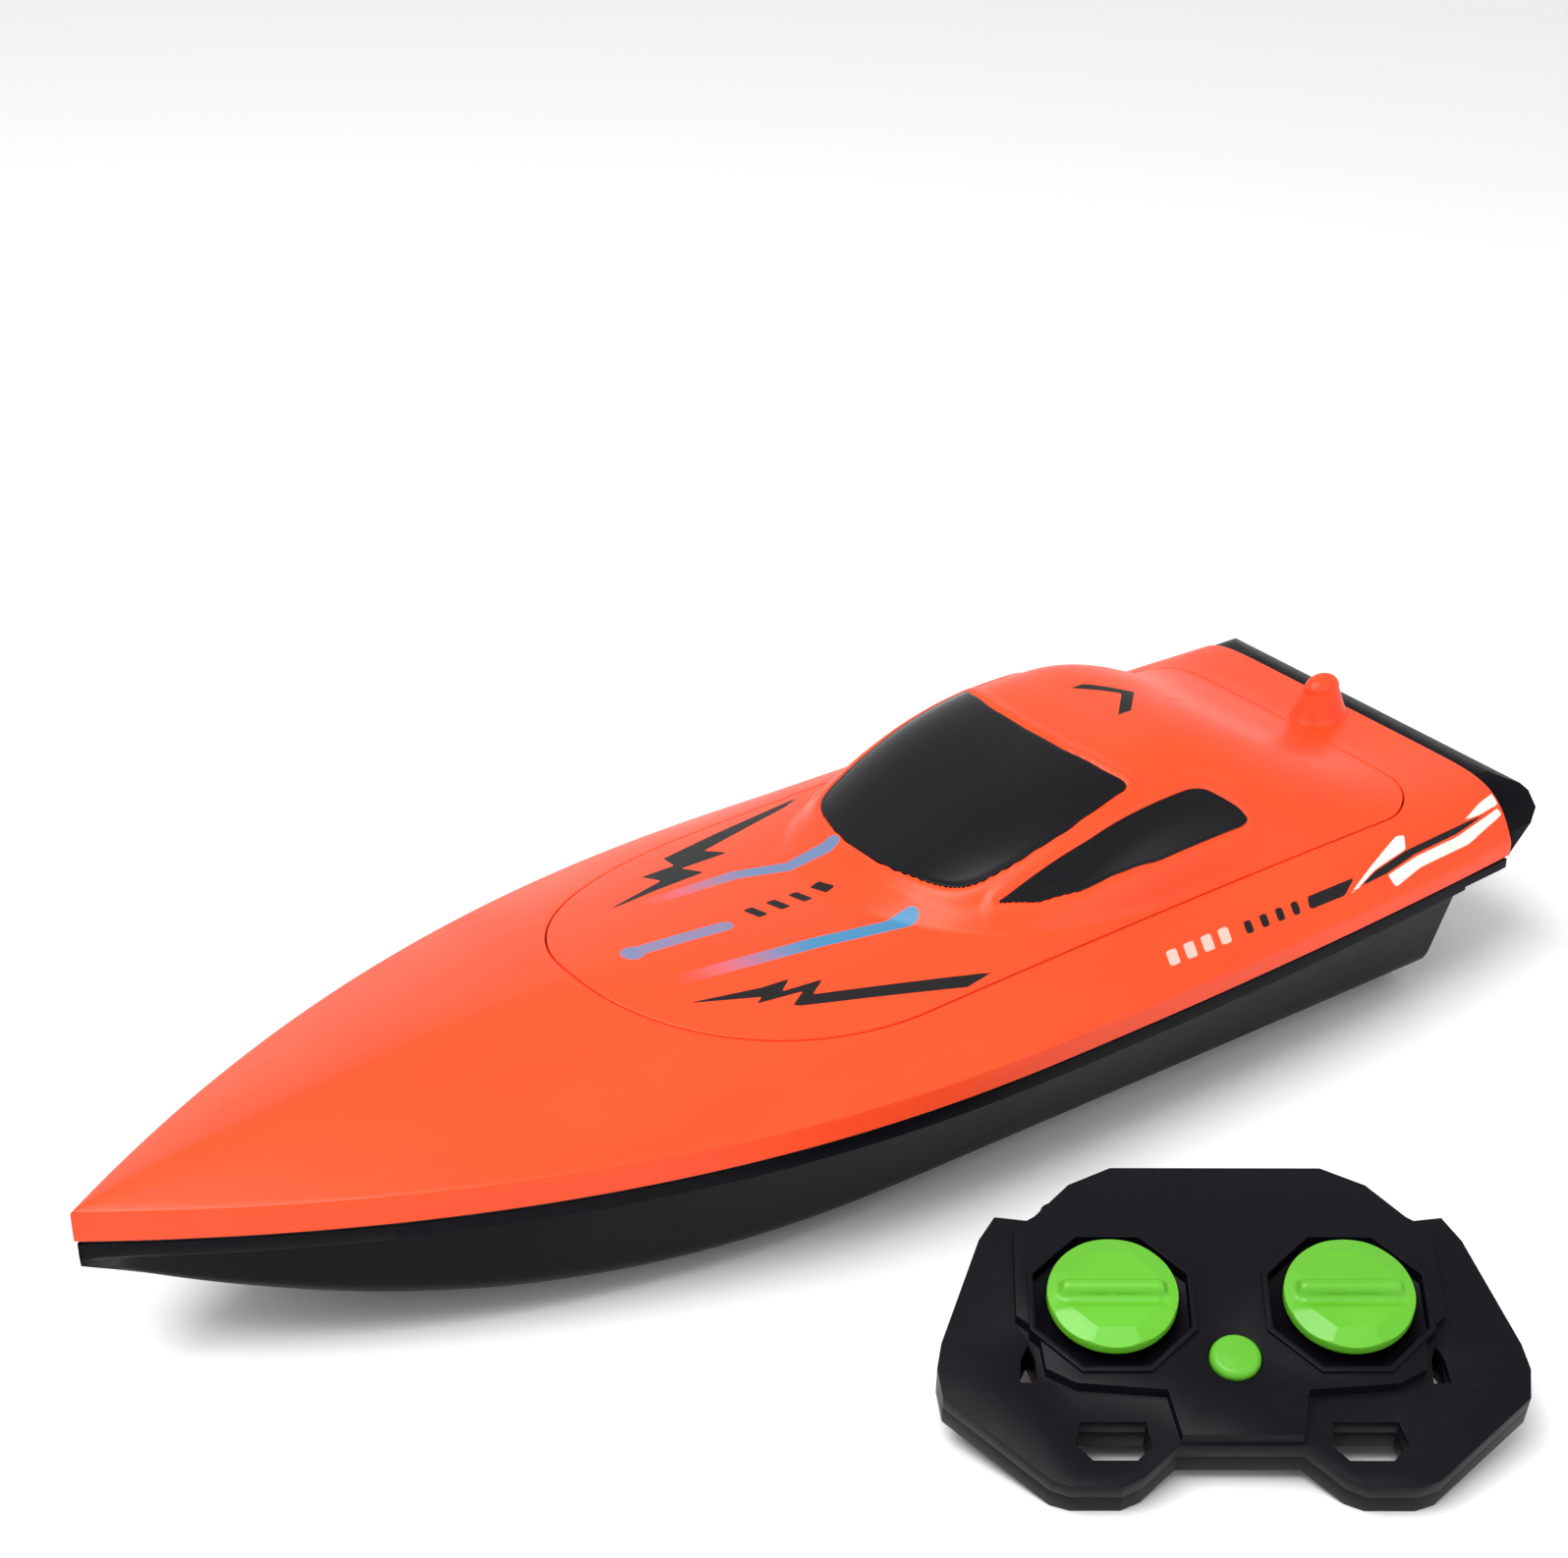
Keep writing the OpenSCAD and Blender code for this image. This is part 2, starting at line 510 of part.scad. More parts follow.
blades = 3;
blade_turn = 32;
module propeller(side) color(BLACK)
    translate([transom_x - tube_out - hub_gap, side * shaft_y, shaft_z]) rotate([0, -90, 0]) difference() {
        union() {
            cylinder(h = hub_l, d = hub_d);
            for (k = [0 : blades - 1]) rotate([0, 0, 360 * k / blades]) intersection() {
                translate([0, 0, hub_l / 2]) rotate([side * blade_turn, 0, 0]) translate([1, -3.6, -0.5])
                    cube([prop_d / 2 - 1, 7.2, 1]);
                cylinder(h = hub_l, d = prop_d);
            }
        }
        translate([0, 0, -1]) cylinder(h = hub_l + 2, d = shaft_d);
    }
module propeller_left() propeller(1);
module propeller_right() propeller(-1);

// ---------- hatch ----------
cover_cols = [-1, -0.97, -0.9, -0.8, -0.67, -0.5, -0.34, -0.17, 0, 0.17, 0.34, 0.5, 0.67, 0.8, 0.9, 0.97, 1];
// Half width of the cover at x, with the running gap taken off
function cover_half(x, gap) = x > hatch_mid
    ? (hatch_w - gap) * sqrt(max(1 - pow((x - hatch_mid) / (hatch_front - hatch_mid - gap), 2), 0))
    : x < hatch_end + hatch_corner
        ? hatch_w - hatch_corner + sqrt(max(pow(hatch_corner - gap, 2)
            - pow(x - hatch_end - hatch_corner, 2), 0))
        : hatch_w - gap;
cover_steps = 30;
cover_aft = hatch_end + hatch_gap;
cover_fore = hatch_front - hatch_gap;
cover_x = [for (k = [0 : cover_steps]) lerp(cover_aft, cover_fore, (1 - cos(6 + 168 * k / cover_steps)
    / cos(6)) / 2)];
function cover_row(x, lift) = [for (c = cover_cols) let (y = c * max(cover_half(x, hatch_gap), 2))
    [x, y, deck_z(x, y) + lift]];
module cover_layer(low, high, from, to) {
    xs = [for (x = cover_x) if (x >= from && x <= to) x];
    between([for (x = xs) cover_row(x, high)], [for (x = xs) cover_row(x, low)]);
}
module hatch_cover() color(ORANGE) cover_layer(-deck_wall, 0, stern_x, half_l);

skirt_h = 5;
skirt_t = 1.5;
module hatch_gasket() color([0.15, 0.15, 0.15]) {
    edge = whole(seam_half(hatch_gap));
    outer = whole(seam_half(ledge_w + hatch_gap));
    inner = whole(seam_half(ledge_w + hatch_gap + skirt_t));
    top = deck_wall + 0.15;
    bottom = ledge_drop - hatch_gap * 0.5;
    ring(ring_rows([under_deck(edge, top), under_deck(edge, bottom), under_deck(outer, bottom),
        under_deck(outer, bottom + skirt_h), under_deck(inner, bottom + skirt_h), under_deck(inner, top)]));
}

module window(outline, from, to) color(BLACK) intersection() {
    cover_layer(0, window_t, from, to);
    translate([0, 0, rim_z]) linear_extrude(80) polygon(outline);
}
function mirrored(half) = concat(half, [for (k = [len(half) - 1 : -1 : 0]) [half[k][0], -half[k][1]]]);
module windshield() window(mirrored([[-71, 0.01], [-71.5, 14], [-74.5, 25], [-77.5, 29.5], [-76, 31], [-57, 32],
    [-43, 30.5], [-34, 28.5], [-29.5, 26], [-26, 21], [-23, 12], [-22, 4]]), -90, -8);
side_outline = [[-35, 33.5], [-61, 35.2], [-92, 35], [-96, 35.8], [-104, 40.5], [-105.5, 42.5], [-103, 43.2],
    [-77, 43.4], [-55, 41.5], [-44, 38.5]];
module side_window_left() window(side_outline, -120, -20);
module side_window_right() window([for (p = side_outline) [p[0], -p[1]]], -120, -20);

// ---------- handset ----------
// The handset's own frame has +X to the right, +Y to its top edge and +Z out of its face
pad_place = [-8.5, 144.8];
pad_turn = 144;
sx = pad_w / 119;
sy = pad_h / 77.5;
heel_y = -38 * sy;                   // where the grips' back edges meet the floor
bay_heel_y = 8;                      // and where the battery bay does
pad_z = -heel_y * sin(pad_lean) + back_h * cos(pad_lean);
bay_depth = (pad_z + bay_heel_y * sin(pad_lean)) / cos(pad_lean);
module in_place() translate([pad_place[0], pad_place[1], pad_z]) rotate([0, 0, pad_turn])
    rotate([pad_lean, 0, 0]) children();

function both(half) = concat(half, [for (k = [len(half) - 1 : -1 : 0]) [-half[k][0], half[k][1]]]);
function scaled(points) = [for (p = points) [p[0] * sx, p[1] * sy]];
pad_outline = scaled(both([[22.5, 39.5], [32, 35], [39, 27], [46.5, 28], [50, 22], [58.5, -4], [59.5, -10],
    [58.5, -17], [38, -36.5], [34, -38], [24, -38], [20, -36], [12.5, -28.5]]));
body_outline = scaled(both([[22, 38.8], [31, 34.3], [38.5, 26], [43, 23], [43.4, 1], [39, -3], [38, -12], [32, -15.5],
    [14, -17], [12, -27.8]]));
hollow_outline = scaled(both([[21, 36.5], [29, 32.5], [37, 24.5], [40.5, 21.5], [40.5, 2.5], [36, -2], [35.5, -10],
    [30, -13.2], [13, -14.6], [10, -25.5]]));
slot_outline = scaled([[17.8, -28.5], [20.8, -31.8], [29.5, -31.8], [32.8, -28], [31.5, -22.8], [18.5, -22.8]]);
notch_outline = scaled([[39.6, -13.5], [43, -13.5], [42.6, -8], [41, -4.5], [39.8, -8]]);
stick_y = 4;
button_y = -9.4;
well_r = (cap_d / 2 + 2.5) / cos(22.5);
well_floor = 4.5;
roof_z = 3.2;                        // underside of the front shell over the works
grip_h = 4;
bezel_h = 1;
screw_spots = scaled([[34.5, 29.5], [-34.5, 29.5], [7, -22], [-7, -22]]);
module each_side() for (s = [0, 1]) mirror([s, 0, 0]) children();
module octagon(r, h) rotate([0, 0, 22.5]) cylinder(r = r, h = h, $fn = 8);
module through_gaps() each_side() {
    translate([0, 0, -30]) linear_extrude(60) polygon(slot_outline);
    translate([0, 0, -30]) linear_extrude(60) polygon(notch_outline);
}
module handset_front() color(BLACK) in_place() {
    difference() {
        union() {
            difference() {
                union() {
                    linear_extrude(grip_h) polygon(pad_outline);
                    linear_extrude(front_h) polygon(body_outline);
                    each_side() translate([stick_x, stick_y, 0]) octagon(well_r + 1.3, front_h + bezel_h);
                }
                translate([0, 0, -1]) linear_extrude(roof_z + 1) polygon(hollow_outline);
                each_side() translate([stick_x, stick_y, 0]) {
                    translate([0, 0, well_floor]) octagon(well_r, 10);
                    cylinder(h = 20, d = 9);
                }
                translate([0, button_y, 0]) cylinder(h = 20, d = button_d + 2 * slide_gap);
                through_gaps();
            }
            for (p = screw_spots) translate([p[0], p[1], 0])
                cylinder(h = roof_z + 0.5, r = pad_screw_d / 2 + 1.4);
        }
        for (p = screw_spots) translate([p[0], p[1], -1]) cylinder(h = roof_z + 1, d = pad_screw_d);
    }
}

bay_w = 54;
bay_top_y = 34;
bay_low_y = 10;
bay_wall = 2;
door_t = 1.6;
tongue = 1.2;
pad_floor = back_h - pad_wall;       // depth of the back shell's floor below the parting plane
screw_seat = back_h - 1.6;
module handset_back() color(BLACK) in_place() difference() {
    union() {
        translate([0, 0, -back_h]) linear_extrude(back_h) polygon(pad_outline);
        translate([-bay_w / 2 - bay_wall, bay_heel_y, -bay_depth])
            cube([bay_w + 2 * bay_wall, bay_top_y + bay_wall - bay_heel_y, bay_depth - 1]);
    }
    translate([0, 0, -pad_floor]) linear_extrude(back_h + 1) polygon(hollow_outline);
    translate([-bay_w / 2, bay_low_y, -bay_depth - 1])
        cube([bay_w, bay_top_y - bay_low_y, bay_depth + 1 - back_h]);
    translate([-bay_w / 2 - tongue - slide_gap, bay_low_y - slide_gap, -bay_depth + 0.8])
        cube([bay_w + 2 * (tongue + slide_gap), 40, door_t - 0.8 + slide_gap]);
    translate([-bay_w / 2, bay_low_y - slide_gap, -bay_depth - 1]) cube([bay_w, 40, 1.9]);
    through_gaps();
    for (p = screw_spots) translate([p[0], p[1], 0]) {
        translate([0, 0, -back_h - 1]) cylinder(h = back_h + 2, d = pad_screw_d + 0.3);
        translate([0, 0, -back_h - 1]) cylinder(h = 1 + back_h - screw_seat, d = 2 * pad_screw_d + 0.4);
    }
}
module battery_door() color(BLACK) in_place() {
    inner = bay_w - 2 * slide_gap;
    y0 = bay_low_y;
    l = bay_top_y + bay_wall - y0;
    translate([-inner / 2, y0, -bay_depth]) cube([inner, l, 0.8]);
    translate([-inner / 2 - tongue, y0, -bay_depth + 0.8 + slide_gap / 2])
        cube([inner + 2 * tongue, l, door_t - 0.8]);
    translate([-inner / 2, y0, -bay_depth + 0.8 - eps]) cube([inner, l, slide_gap]);
    for (k = [0 : 3]) translate([-8, bay_top_y - 4 - 2.2 * k, -bay_depth - 0.4]) cube([16, 1, 0.4 + eps]);
}
module handset_cells() color([0.75, 0.6, 0.2]) in_place() for (s = [-1, 1])
    translate([-pad_cell_l / 2, (bay_low_y + bay_top_y) / 2 + s * (pad_cell_d / 2 + 0.4), -back_h - pad_cell_d / 2])
        rotate([0, 90, 0]) union() {
            cylinder(h = pad_cell_l - 1, d = pad_cell_d);
            cylinder(h = pad_cell_l, d = 4);
        }
module cell_contacts() color([0.8, 0.8, 0.82]) in_place() for (s = [-1, 1])
    translate([s * (bay_w / 2 - 0.3) - 0.3, bay_low_y + 2, -back_h - pad_cell_d]) {
        cube([0.6, bay_top_y - bay_low_y - 4, pad_cell_d - 1]);
    }
module handset_screws() color([0.75, 0.75, 0.78]) in_place() for (p = screw_spots)
    translate([p[0], p[1], -screw_seat - 1.3]) {
        cylinder(h = 1.3, d = 2 * pad_screw_d);
        cylinder(h = 1.3 + screw_seat + roof_z - 0.6, d = pad_screw_d);
    }
board_t = 1.2;
board_low = -pad_floor + 1.2;
switch_top = board_low + board_t + 1.4;
module handset_board() color([0.1, 0.4, 0.2]) in_place() {
    translate([-13.5, -13.8, board_low]) cube([27, 40, board_t]);
    for (p = [[-10, -9], [7, -9], [-10, 22], [7, 22]]) translate([p[0], p[1], -pad_floor]) cube([3, 3, 1.2 + eps]);
    translate([-3, button_y - 3, board_low + board_t - eps]) cube([6, 6, 1.4 + eps]);
    translate([-7, 8, board_low + board_t - eps]) cube([12, 9, 1.3]);
}

cheek = 3;
lever_gap = 0.5;
lever_w = 6;
axle_l = lever_w + 2 * lever_gap + 2 * cheek;
module gimbal(side) color([0.2, 0.2, 0.22]) in_place() translate([side * stick_x, stick_y, 0]) difference() {
    translate([-axle_l / 2, -3.6, -pad_floor]) cube([axle_l, 7.2, pad_floor + roof_z]);
    translate([-lever_w / 2 - lever_gap, -5, -pad_floor + 0.8]) cube([lever_w + 2 * lever_gap, 10, 20]);
    translate([-axle_l / 2 - 1, 0, 0]) rotate([0, 90, 0]) cylinder(h = axle_l + 2, d = axle_d + 2 * run_gap);
}
module gimbal_left() gimbal(-1);
module gimbal_right() gimbal(1);
stem_d = 5;
cap_z = 7.8;
stem_top = cap_z + 2;
module stick_lever(side) color([0.25, 0.25, 0.27]) in_place() translate([side * stick_x, stick_y, 0]) {
    translate([-axle_l / 2, 0, 0]) rotate([0, 90, 0]) cylinder(h = axle_l, d = axle_d);
    translate([-lever_w / 2, 0, 0]) rotate([0, 90, 0]) cylinder(h = lever_w, d = stem_d);
    cylinder(h = stem_top, d = stem_d);
}
module stick_lever_left() stick_lever(-1);
module stick_lever_right() stick_lever(1);
cap_h = 4.6;
module stick_cap(side) color(GREEN) in_place() translate([side * stick_x, stick_y, cap_z]) difference() {
    union() {
        rotate_extrude() polygon([[0, 0], [cap_d / 2 - 1, 0], [cap_d / 2, 0.8], [cap_d / 2, 2.2],
            [cap_d / 2 - 1.2, 3.2], [cap_d / 2 - 4, cap_h - 0.6], [0, cap_h - 0.4]]);
        translate([-cap_d / 2 + 1.5, -1.1, 2]) cube([cap_d - 3, 2.2, cap_h - 1.2]);
    }
    translate([0, 0, -1]) cylinder(h = stem_top - cap_z + 1, d = stem_d);
}
module stick_cap_left() stick_cap(-1);
module stick_cap_right() stick_cap(1);

button_low = switch_top + 0.15 + button_travel;
button_top = front_h + 1.8;
module power_button() color(GREEN) in_place() translate([0, button_y, 0]) {
    translate([0, 0, button_low]) cylinder(h = roof_z - 0.1 - button_low, d = button_d + 2.4);
    rotate_extrude() polygon([[0, button_low], [button_d / 2, button_low], [button_d / 2, button_top - 1],
        [button_d / 2 - 0.8, button_top - 0.2], [0, button_top]]);
}

hull();
deck();
hull_gasket();
stern_bumper();
tail_fin();
battery_tray();
battery_pack();
battery_strap();
circuit_board();
receiver_aerial();
power_switch();
switch_slider();
water_contacts();
motor_bracket();
motor_left();
motor_right();
stern_tube_left();
stern_tube_right();
deck_screws();
shaft_left();
shaft_right();
coupler_left();
coupler_right();
propeller_left();
propeller_right();
hatch_cover();
hatch_gasket();
windshield();
side_window_left();
side_window_right();
handset_front();
handset_back();
handset_board();
handset_cells();
cell_contacts();
handset_screws();
gimbal_left();
gimbal_right();
stick_lever_left();
stick_lever_right();
stick_cap_left();
stick_cap_right();
power_button();
battery_door();
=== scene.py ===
"""Finished surfaces, materials, floor and lights for a radio-controlled speedboat and its handset."""

import math

import bmesh
import bpy
import numpy as np
from bpy.props import FloatProperty, FloatVectorProperty, PointerProperty
from mathutils import Matrix, Vector


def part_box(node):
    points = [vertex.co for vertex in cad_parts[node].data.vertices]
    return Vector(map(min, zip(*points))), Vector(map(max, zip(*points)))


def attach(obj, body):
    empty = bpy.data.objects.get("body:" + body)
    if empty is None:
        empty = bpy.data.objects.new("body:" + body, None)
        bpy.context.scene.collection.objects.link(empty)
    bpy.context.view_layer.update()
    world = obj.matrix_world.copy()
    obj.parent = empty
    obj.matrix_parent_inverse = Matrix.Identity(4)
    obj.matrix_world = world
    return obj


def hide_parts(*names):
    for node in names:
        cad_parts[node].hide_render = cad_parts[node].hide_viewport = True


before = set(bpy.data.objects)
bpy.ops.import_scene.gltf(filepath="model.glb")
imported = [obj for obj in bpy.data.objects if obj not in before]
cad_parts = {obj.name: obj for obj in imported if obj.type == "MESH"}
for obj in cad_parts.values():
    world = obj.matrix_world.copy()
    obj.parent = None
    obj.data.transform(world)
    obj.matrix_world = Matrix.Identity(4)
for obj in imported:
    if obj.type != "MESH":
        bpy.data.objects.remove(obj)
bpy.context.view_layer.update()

bl_info = {
    "name": "RC Boat Finisher",
    "version": (1, 0, 0),
    "blender": (4, 5, 0),
    "location": "View3D > Sidebar > RC Boat",
    "description": "Builds the moulded shells, windows, marks and handset of a toy speedboat",
    "category": "Object",
}

MM = 0.001


def low_mm(node):
    """Lowest corner of a CAD node in millimetres."""
    return np.array(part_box(node)[0]) / MM


def high_mm(node):
    """Highest corner of a CAD node in millimetres."""
    return np.array(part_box(node)[1]) / MM


# ---------- sizes and colours that a user would change ----------

class BoatSizes(bpy.types.PropertyGroup):
    """Sizes of the boat's shells, beyond what the frame gives."""

    crown: FloatProperty(name="Foredeck crown", description="Height of the deck's crown above its rim",
                         default=0.0147, unit="LENGTH")
    cabin_height: FloatProperty(name="Cabin height", description="Height of the cabin above the deck",
                                default=0.0255, unit="LENGTH")
    cabin_half: FloatProperty(name="Cabin half width", description="Half the cabin's width",
                              default=0.048, unit="LENGTH")
    deck_wall: FloatProperty(name="Deck wall", description="Thickness of the deck and hatch cover",
                             default=0.0018, unit="LENGTH")
    hull_wall: FloatProperty(name="Hull wall", description="Thickness of the hull", default=0.0018,
                             unit="LENGTH")
    seam_round: FloatProperty(name="Seam rounding", description="Radius of the edges at the hatch's seam",
                              default=0.0004, unit="LENGTH")
    frame_bead: FloatProperty(name="Window bead", description="Height of the raised bead round the windows",
                              default=0.0009, unit="LENGTH")


class BoatColours(bpy.types.PropertyGroup):
    """Colours of the boat and its handset."""

    deck: FloatVectorProperty(name="Deck", description="Orange of the deck and hatch", subtype="COLOR",
                              default=(0.86, 0.062, 0.011))
    hull: FloatVectorProperty(name="Hull", description="Near-black of the hull", subtype="COLOR",
                              default=(0.0028, 0.0024, 0.0042))
    window: FloatVectorProperty(name="Windows", description="Black of the windows", subtype="COLOR",
                                default=(0.005, 0.0045, 0.0062))
    mark: FloatVectorProperty(name="Black marks", description="Black of the printed marks", subtype="COLOR",
                              default=(0.004, 0.003, 0.004))
    stripe: FloatVectorProperty(name="Blue stripes", description="Blue of the foredeck stripes",
                                subtype="COLOR", default=(0.045, 0.2, 0.37))
    flash: FloatVectorProperty(name="White flashes", description="White of the quarter flashes",
                               subtype="COLOR", default=(0.9, 0.74, 0.66))
    handset: FloatVectorProperty(name="Handset", description="Black of the handset's shells",
                                 subtype="COLOR", default=(0.0032, 0.0028, 0.0048))
    cap: FloatVectorProperty(name="Green caps", description="Green of the sticks and power button",
                             subtype="COLOR", default=(0.1, 0.4, 0.018))


class StageSettings(bpy.types.PropertyGroup):
    """Camera and floor."""

    azimuth: FloatProperty(name="Camera azimuth", description="Bearing of the camera from the bow to port",
                           default=math.radians(54.13), subtype="ANGLE")
    elevation: FloatProperty(name="Camera elevation", description="Height angle of the camera",
                             default=math.radians(31.46), subtype="ANGLE")
    distance: FloatProperty(name="Camera distance", description="From the camera to the point it is aimed at",
                            default=0.7359, unit="LENGTH")
    lens: FloatProperty(name="Lens", description="Focal length on a 36 mm sensor", default=72.19)
    shift: FloatProperty(name="Lens shift", description="Upward shift of the view", default=0.1247)
    floor: FloatVectorProperty(name="Floor", description="Colour of the floor", subtype="COLOR",
                               default=(0.9, 0.9, 0.9))


def sizes():
    return bpy.context.scene.boat_sizes


def colours():
    return bpy.context.scene.boat_colours


# ---------- curves of the boat, in millimetres ----------

BOW = high_mm("hull_gasket")[0] + 0.8 * 1.8
STERN = low_mm("deck")[0]
HALF_BEAM = high_mm("deck")[1]
RIM_Z = high_mm("hull_gasket")[2]
SEAT_Z = low_mm("hull_gasket")[2]
LENGTH = BOW - STERN
TRANSOM_X = low_mm("stern_tube_left")[0] + 2
WIDEST = 0.42
STERN_NARROW = 7
CABIN_FRONT = -8
CABIN_REAR = STERN + 12
CABIN_FADE = 72


def smooth(t):
    """Smoothstep: three t squared less two t cubed, held at its ends."""
    t = np.clip(t, 0, 1)
    return t * t * (3 - 2 * t)


def mix(a, b, t):
    return a + (b - a) * t


def along(x):
    """Share of the length from the stern."""
    return np.clip((x - STERN) / LENGTH, 0, 1)


def beam(x):
    """Half width of the rim: falls by a power 2.15 curve to the bow and a parabola to the stern."""
    s = along(x)
    fore = HALF_BEAM * (1 - np.clip((s - WIDEST) / (1 - WIDEST), 0, 1) ** 2.15)
    aft = HALF_BEAM - STERN_NARROW * np.clip((WIDEST - s) / WIDEST, 0, 1) ** 2
    return np.where(s > WIDEST, fore, aft)


def rim_height(x):
    """The upright rim grows evenly from 4 at the stern to 7.5 at the bow."""
    return 4 + 3.5 * along(x)


def cabin(x, y):
    """The cabin rises by a sine from its front, fades by a smoothstep aft and is a superellipse across."""
    s = sizes()
    rise = np.clip((CABIN_FRONT - x) / 80, 0, 1)
    wide = np.clip((CABIN_FRONT - x) / 66, 0, 1)
    half = s.cabin_half / MM * np.sqrt(1 - (1 - wide) ** 2)
    across = np.clip(1 - (np.abs(y) / np.maximum(half, 0.001)) ** 3.6, 0, 1)
    lift = np.sin(np.pi / 2 * rise) ** 1.2 * smooth((x - CABIN_REAR) / CABIN_FADE)
    return s.cabin_height / MM * lift * across


def deck_height(x, y):
    """Rim height, plus a crown that is a superellipse across and fades to the bow, plus the cabin."""
    s = along(x)
    top = sizes().crown / MM
    crown = (top - 1.3 + 1.3 * np.minimum(s / 0.6, 1)) * (1 - np.clip((s - 0.6) / 0.4, 0, 1) ** 2)
    power = 1.25 + 9.5 * (1 - s) ** 3.2
    t = np.minimum(np.abs(y) / np.maximum(beam(x), 0.001), 1)
    return RIM_Z + rim_height(x) + crown * (1 - t ** power) + cabin(x, y)


# Outlines of the hatch opening and of the rim, matched point for point on the port half
HATCH_FRONT = 58
HATCH_MID = -5
HATCH_END = STERN + 20
HATCH_HALF = 49
HATCH_CORNER = 14
HATCH_GAP = 0.4
RIM_SPLIT = -20
# Points of the half outline: bow, side, corner and aft edge
STEPS = (110, 200, 26, 24)


def seam_half(inset):
    """Port half of the opening: an ellipse forward, a straight side, a round corner and the aft edge."""
    a, b, c, d = STEPS
    bow = np.radians(np.linspace(0, 90, a, endpoint=False))
    front = np.stack([HATCH_MID + (HATCH_FRONT - HATCH_MID - inset) * np.cos(bow),
                      (HATCH_HALF - inset) * np.sin(bow)], axis=1)
    xs = np.linspace(HATCH_MID, HATCH_END + HATCH_CORNER, b, endpoint=False)
    side = np.stack([xs, np.full(b, HATCH_HALF - inset)], axis=1)
    turn = np.radians(np.linspace(90, 180, c, endpoint=False))
    corner = np.stack([HATCH_END + HATCH_CORNER + (HATCH_CORNER - inset) * np.cos(turn),
                       HATCH_HALF - HATCH_CORNER + (HATCH_CORNER - inset) * np.sin(turn)], axis=1)
    ys = np.linspace(HATCH_HALF - HATCH_CORNER, 0, d + 1)
    aft = np.stack([np.full(d + 1, HATCH_END + inset), ys], axis=1)
    return np.concatenate([front, side, corner, aft])


def rim_half(inset):
    """Port half of the rim, moved in by the inset: along the side to the stern, then across it."""
    a, b, c, d = STEPS
    xs = np.concatenate([np.linspace(BOW, RIM_SPLIT, a, endpoint=False),
                         np.linspace(RIM_SPLIT, STERN, b, endpoint=False)])
    xs = np.clip(xs, STERN + inset, BOW - 1.8 * inset)
    side = np.stack([xs, np.maximum(beam(xs) - 1.2 * inset, 0)], axis=1)
    edge = float(beam(STERN + inset) - 1.2 * inset)
    turn = 0.74
    ys = edge * np.concatenate([np.linspace(1, turn, c, endpoint=False), turn * np.linspace(1, 0, d + 1)])
    aft = np.stack([np.full(len(ys), STERN + inset), ys], axis=1)
    return np.concatenate([side, aft])


def whole(half):
    """The closed outline from its port half, with starboard mirrored."""
    return np.concatenate([half, half[-2:0:-1] * [1, -1]])


def at(outline, z):
    """An outline lifted to a height, or to one height for each point."""
    return np.column_stack([outline, np.broadcast_to(z, len(outline))])


def on_deck(outline, drop=0.0):
    """An outline laid on the deck's height field, lowered by drop."""
    return at(outline, deck_height(*outline.T) - drop)


# ---------- meshes ----------

def grid_quads(rows, cols, close_rows=False, close_cols=False):
    """Quads of a grid of rows by cols points, whose last row or column may join the first."""
    r = np.arange(rows if close_rows else rows - 1)
    c = np.arange(cols if close_cols else cols - 1)
    i, j = np.meshgrid(r, c, indexing="ij")
    i2, j2 = (i + 1) % rows, (j + 1) % cols
    return np.stack([i * cols + j, i * cols + j2, i2 * cols + j2, i2 * cols + j], axis=-1).reshape(-1, 4)


class Surface:
    """Points in millimetres and faces of point numbers, gathered grid by grid."""

    def __init__(self):
        self.points = []
        self.faces = []
        self.count = 0

    def all_points(self):
        return np.concatenate(self.points)

    def add(self, grid, close_rows=False, close_cols=False):
        """Adds a grid of points and its quads, and returns the points' numbers in the grid's shape."""
        rows, cols = grid.shape[:2]
        numbers = self.count + np.arange(rows * cols).reshape(rows, cols)
        self.points.append(grid.reshape(-1, 3))
        self.faces.append(grid_quads(rows, cols, close_rows, close_cols) + self.count)
        self.count += rows * cols
        return numbers

    def join(self, a, b):
        """Adds quads between two loops of point numbers of the same length."""
        self.faces.append(np.stack([a, np.roll(a, -1), np.roll(b, -1), b], axis=-1))

    def cap(self, loop):
        """Closes a loop with a fan of triangles round its middle."""
        self.faces.append(np.stack([loop, np.roll(loop, -1), np.full(len(loop), self.count)], axis=-1))
        self.points.append(self.all_points()[loop].mean(axis=0)[None])
        self.count += 1


def edge_loop(numbers):
    """The point numbers round the edge of a grid, in order."""
    return np.concatenate([numbers[:-1, 0], numbers[-1, :-1], numbers[:0:-1, -1], numbers[0, :0:-1]])


def new_piece(name, surface, body, finish, replaces, marks=None, turn=None, crease=40):
    """Makes a surface into a piece that rides on a body: doubles merged, faces outward, folds kept sharp.
    marks gives an attribute's name and one number for each point; turn moves the points into place."""
    points = surface.all_points()
    if turn:
        points = turn(points)
    mesh = bpy.data.meshes.new(name)
    mesh.from_pydata((points * MM).tolist(), [], [f for block in surface.faces for f in block.tolist()])
    for key, values in (marks or {}).items():
        mesh.attributes.new(key, "FLOAT", "POINT").data.foreach_set("value", np.asarray(values, np.float32))
    bm = bmesh.new()
    bm.from_mesh(mesh)
    bmesh.ops.remove_doubles(bm, verts=bm.verts, dist=1e-6)
    bmesh.ops.recalc_face_normals(bm, faces=bm.faces)
    bm.to_mesh(mesh)
    bm.free()
    settle(name, mesh, body, finish, replaces, crease)


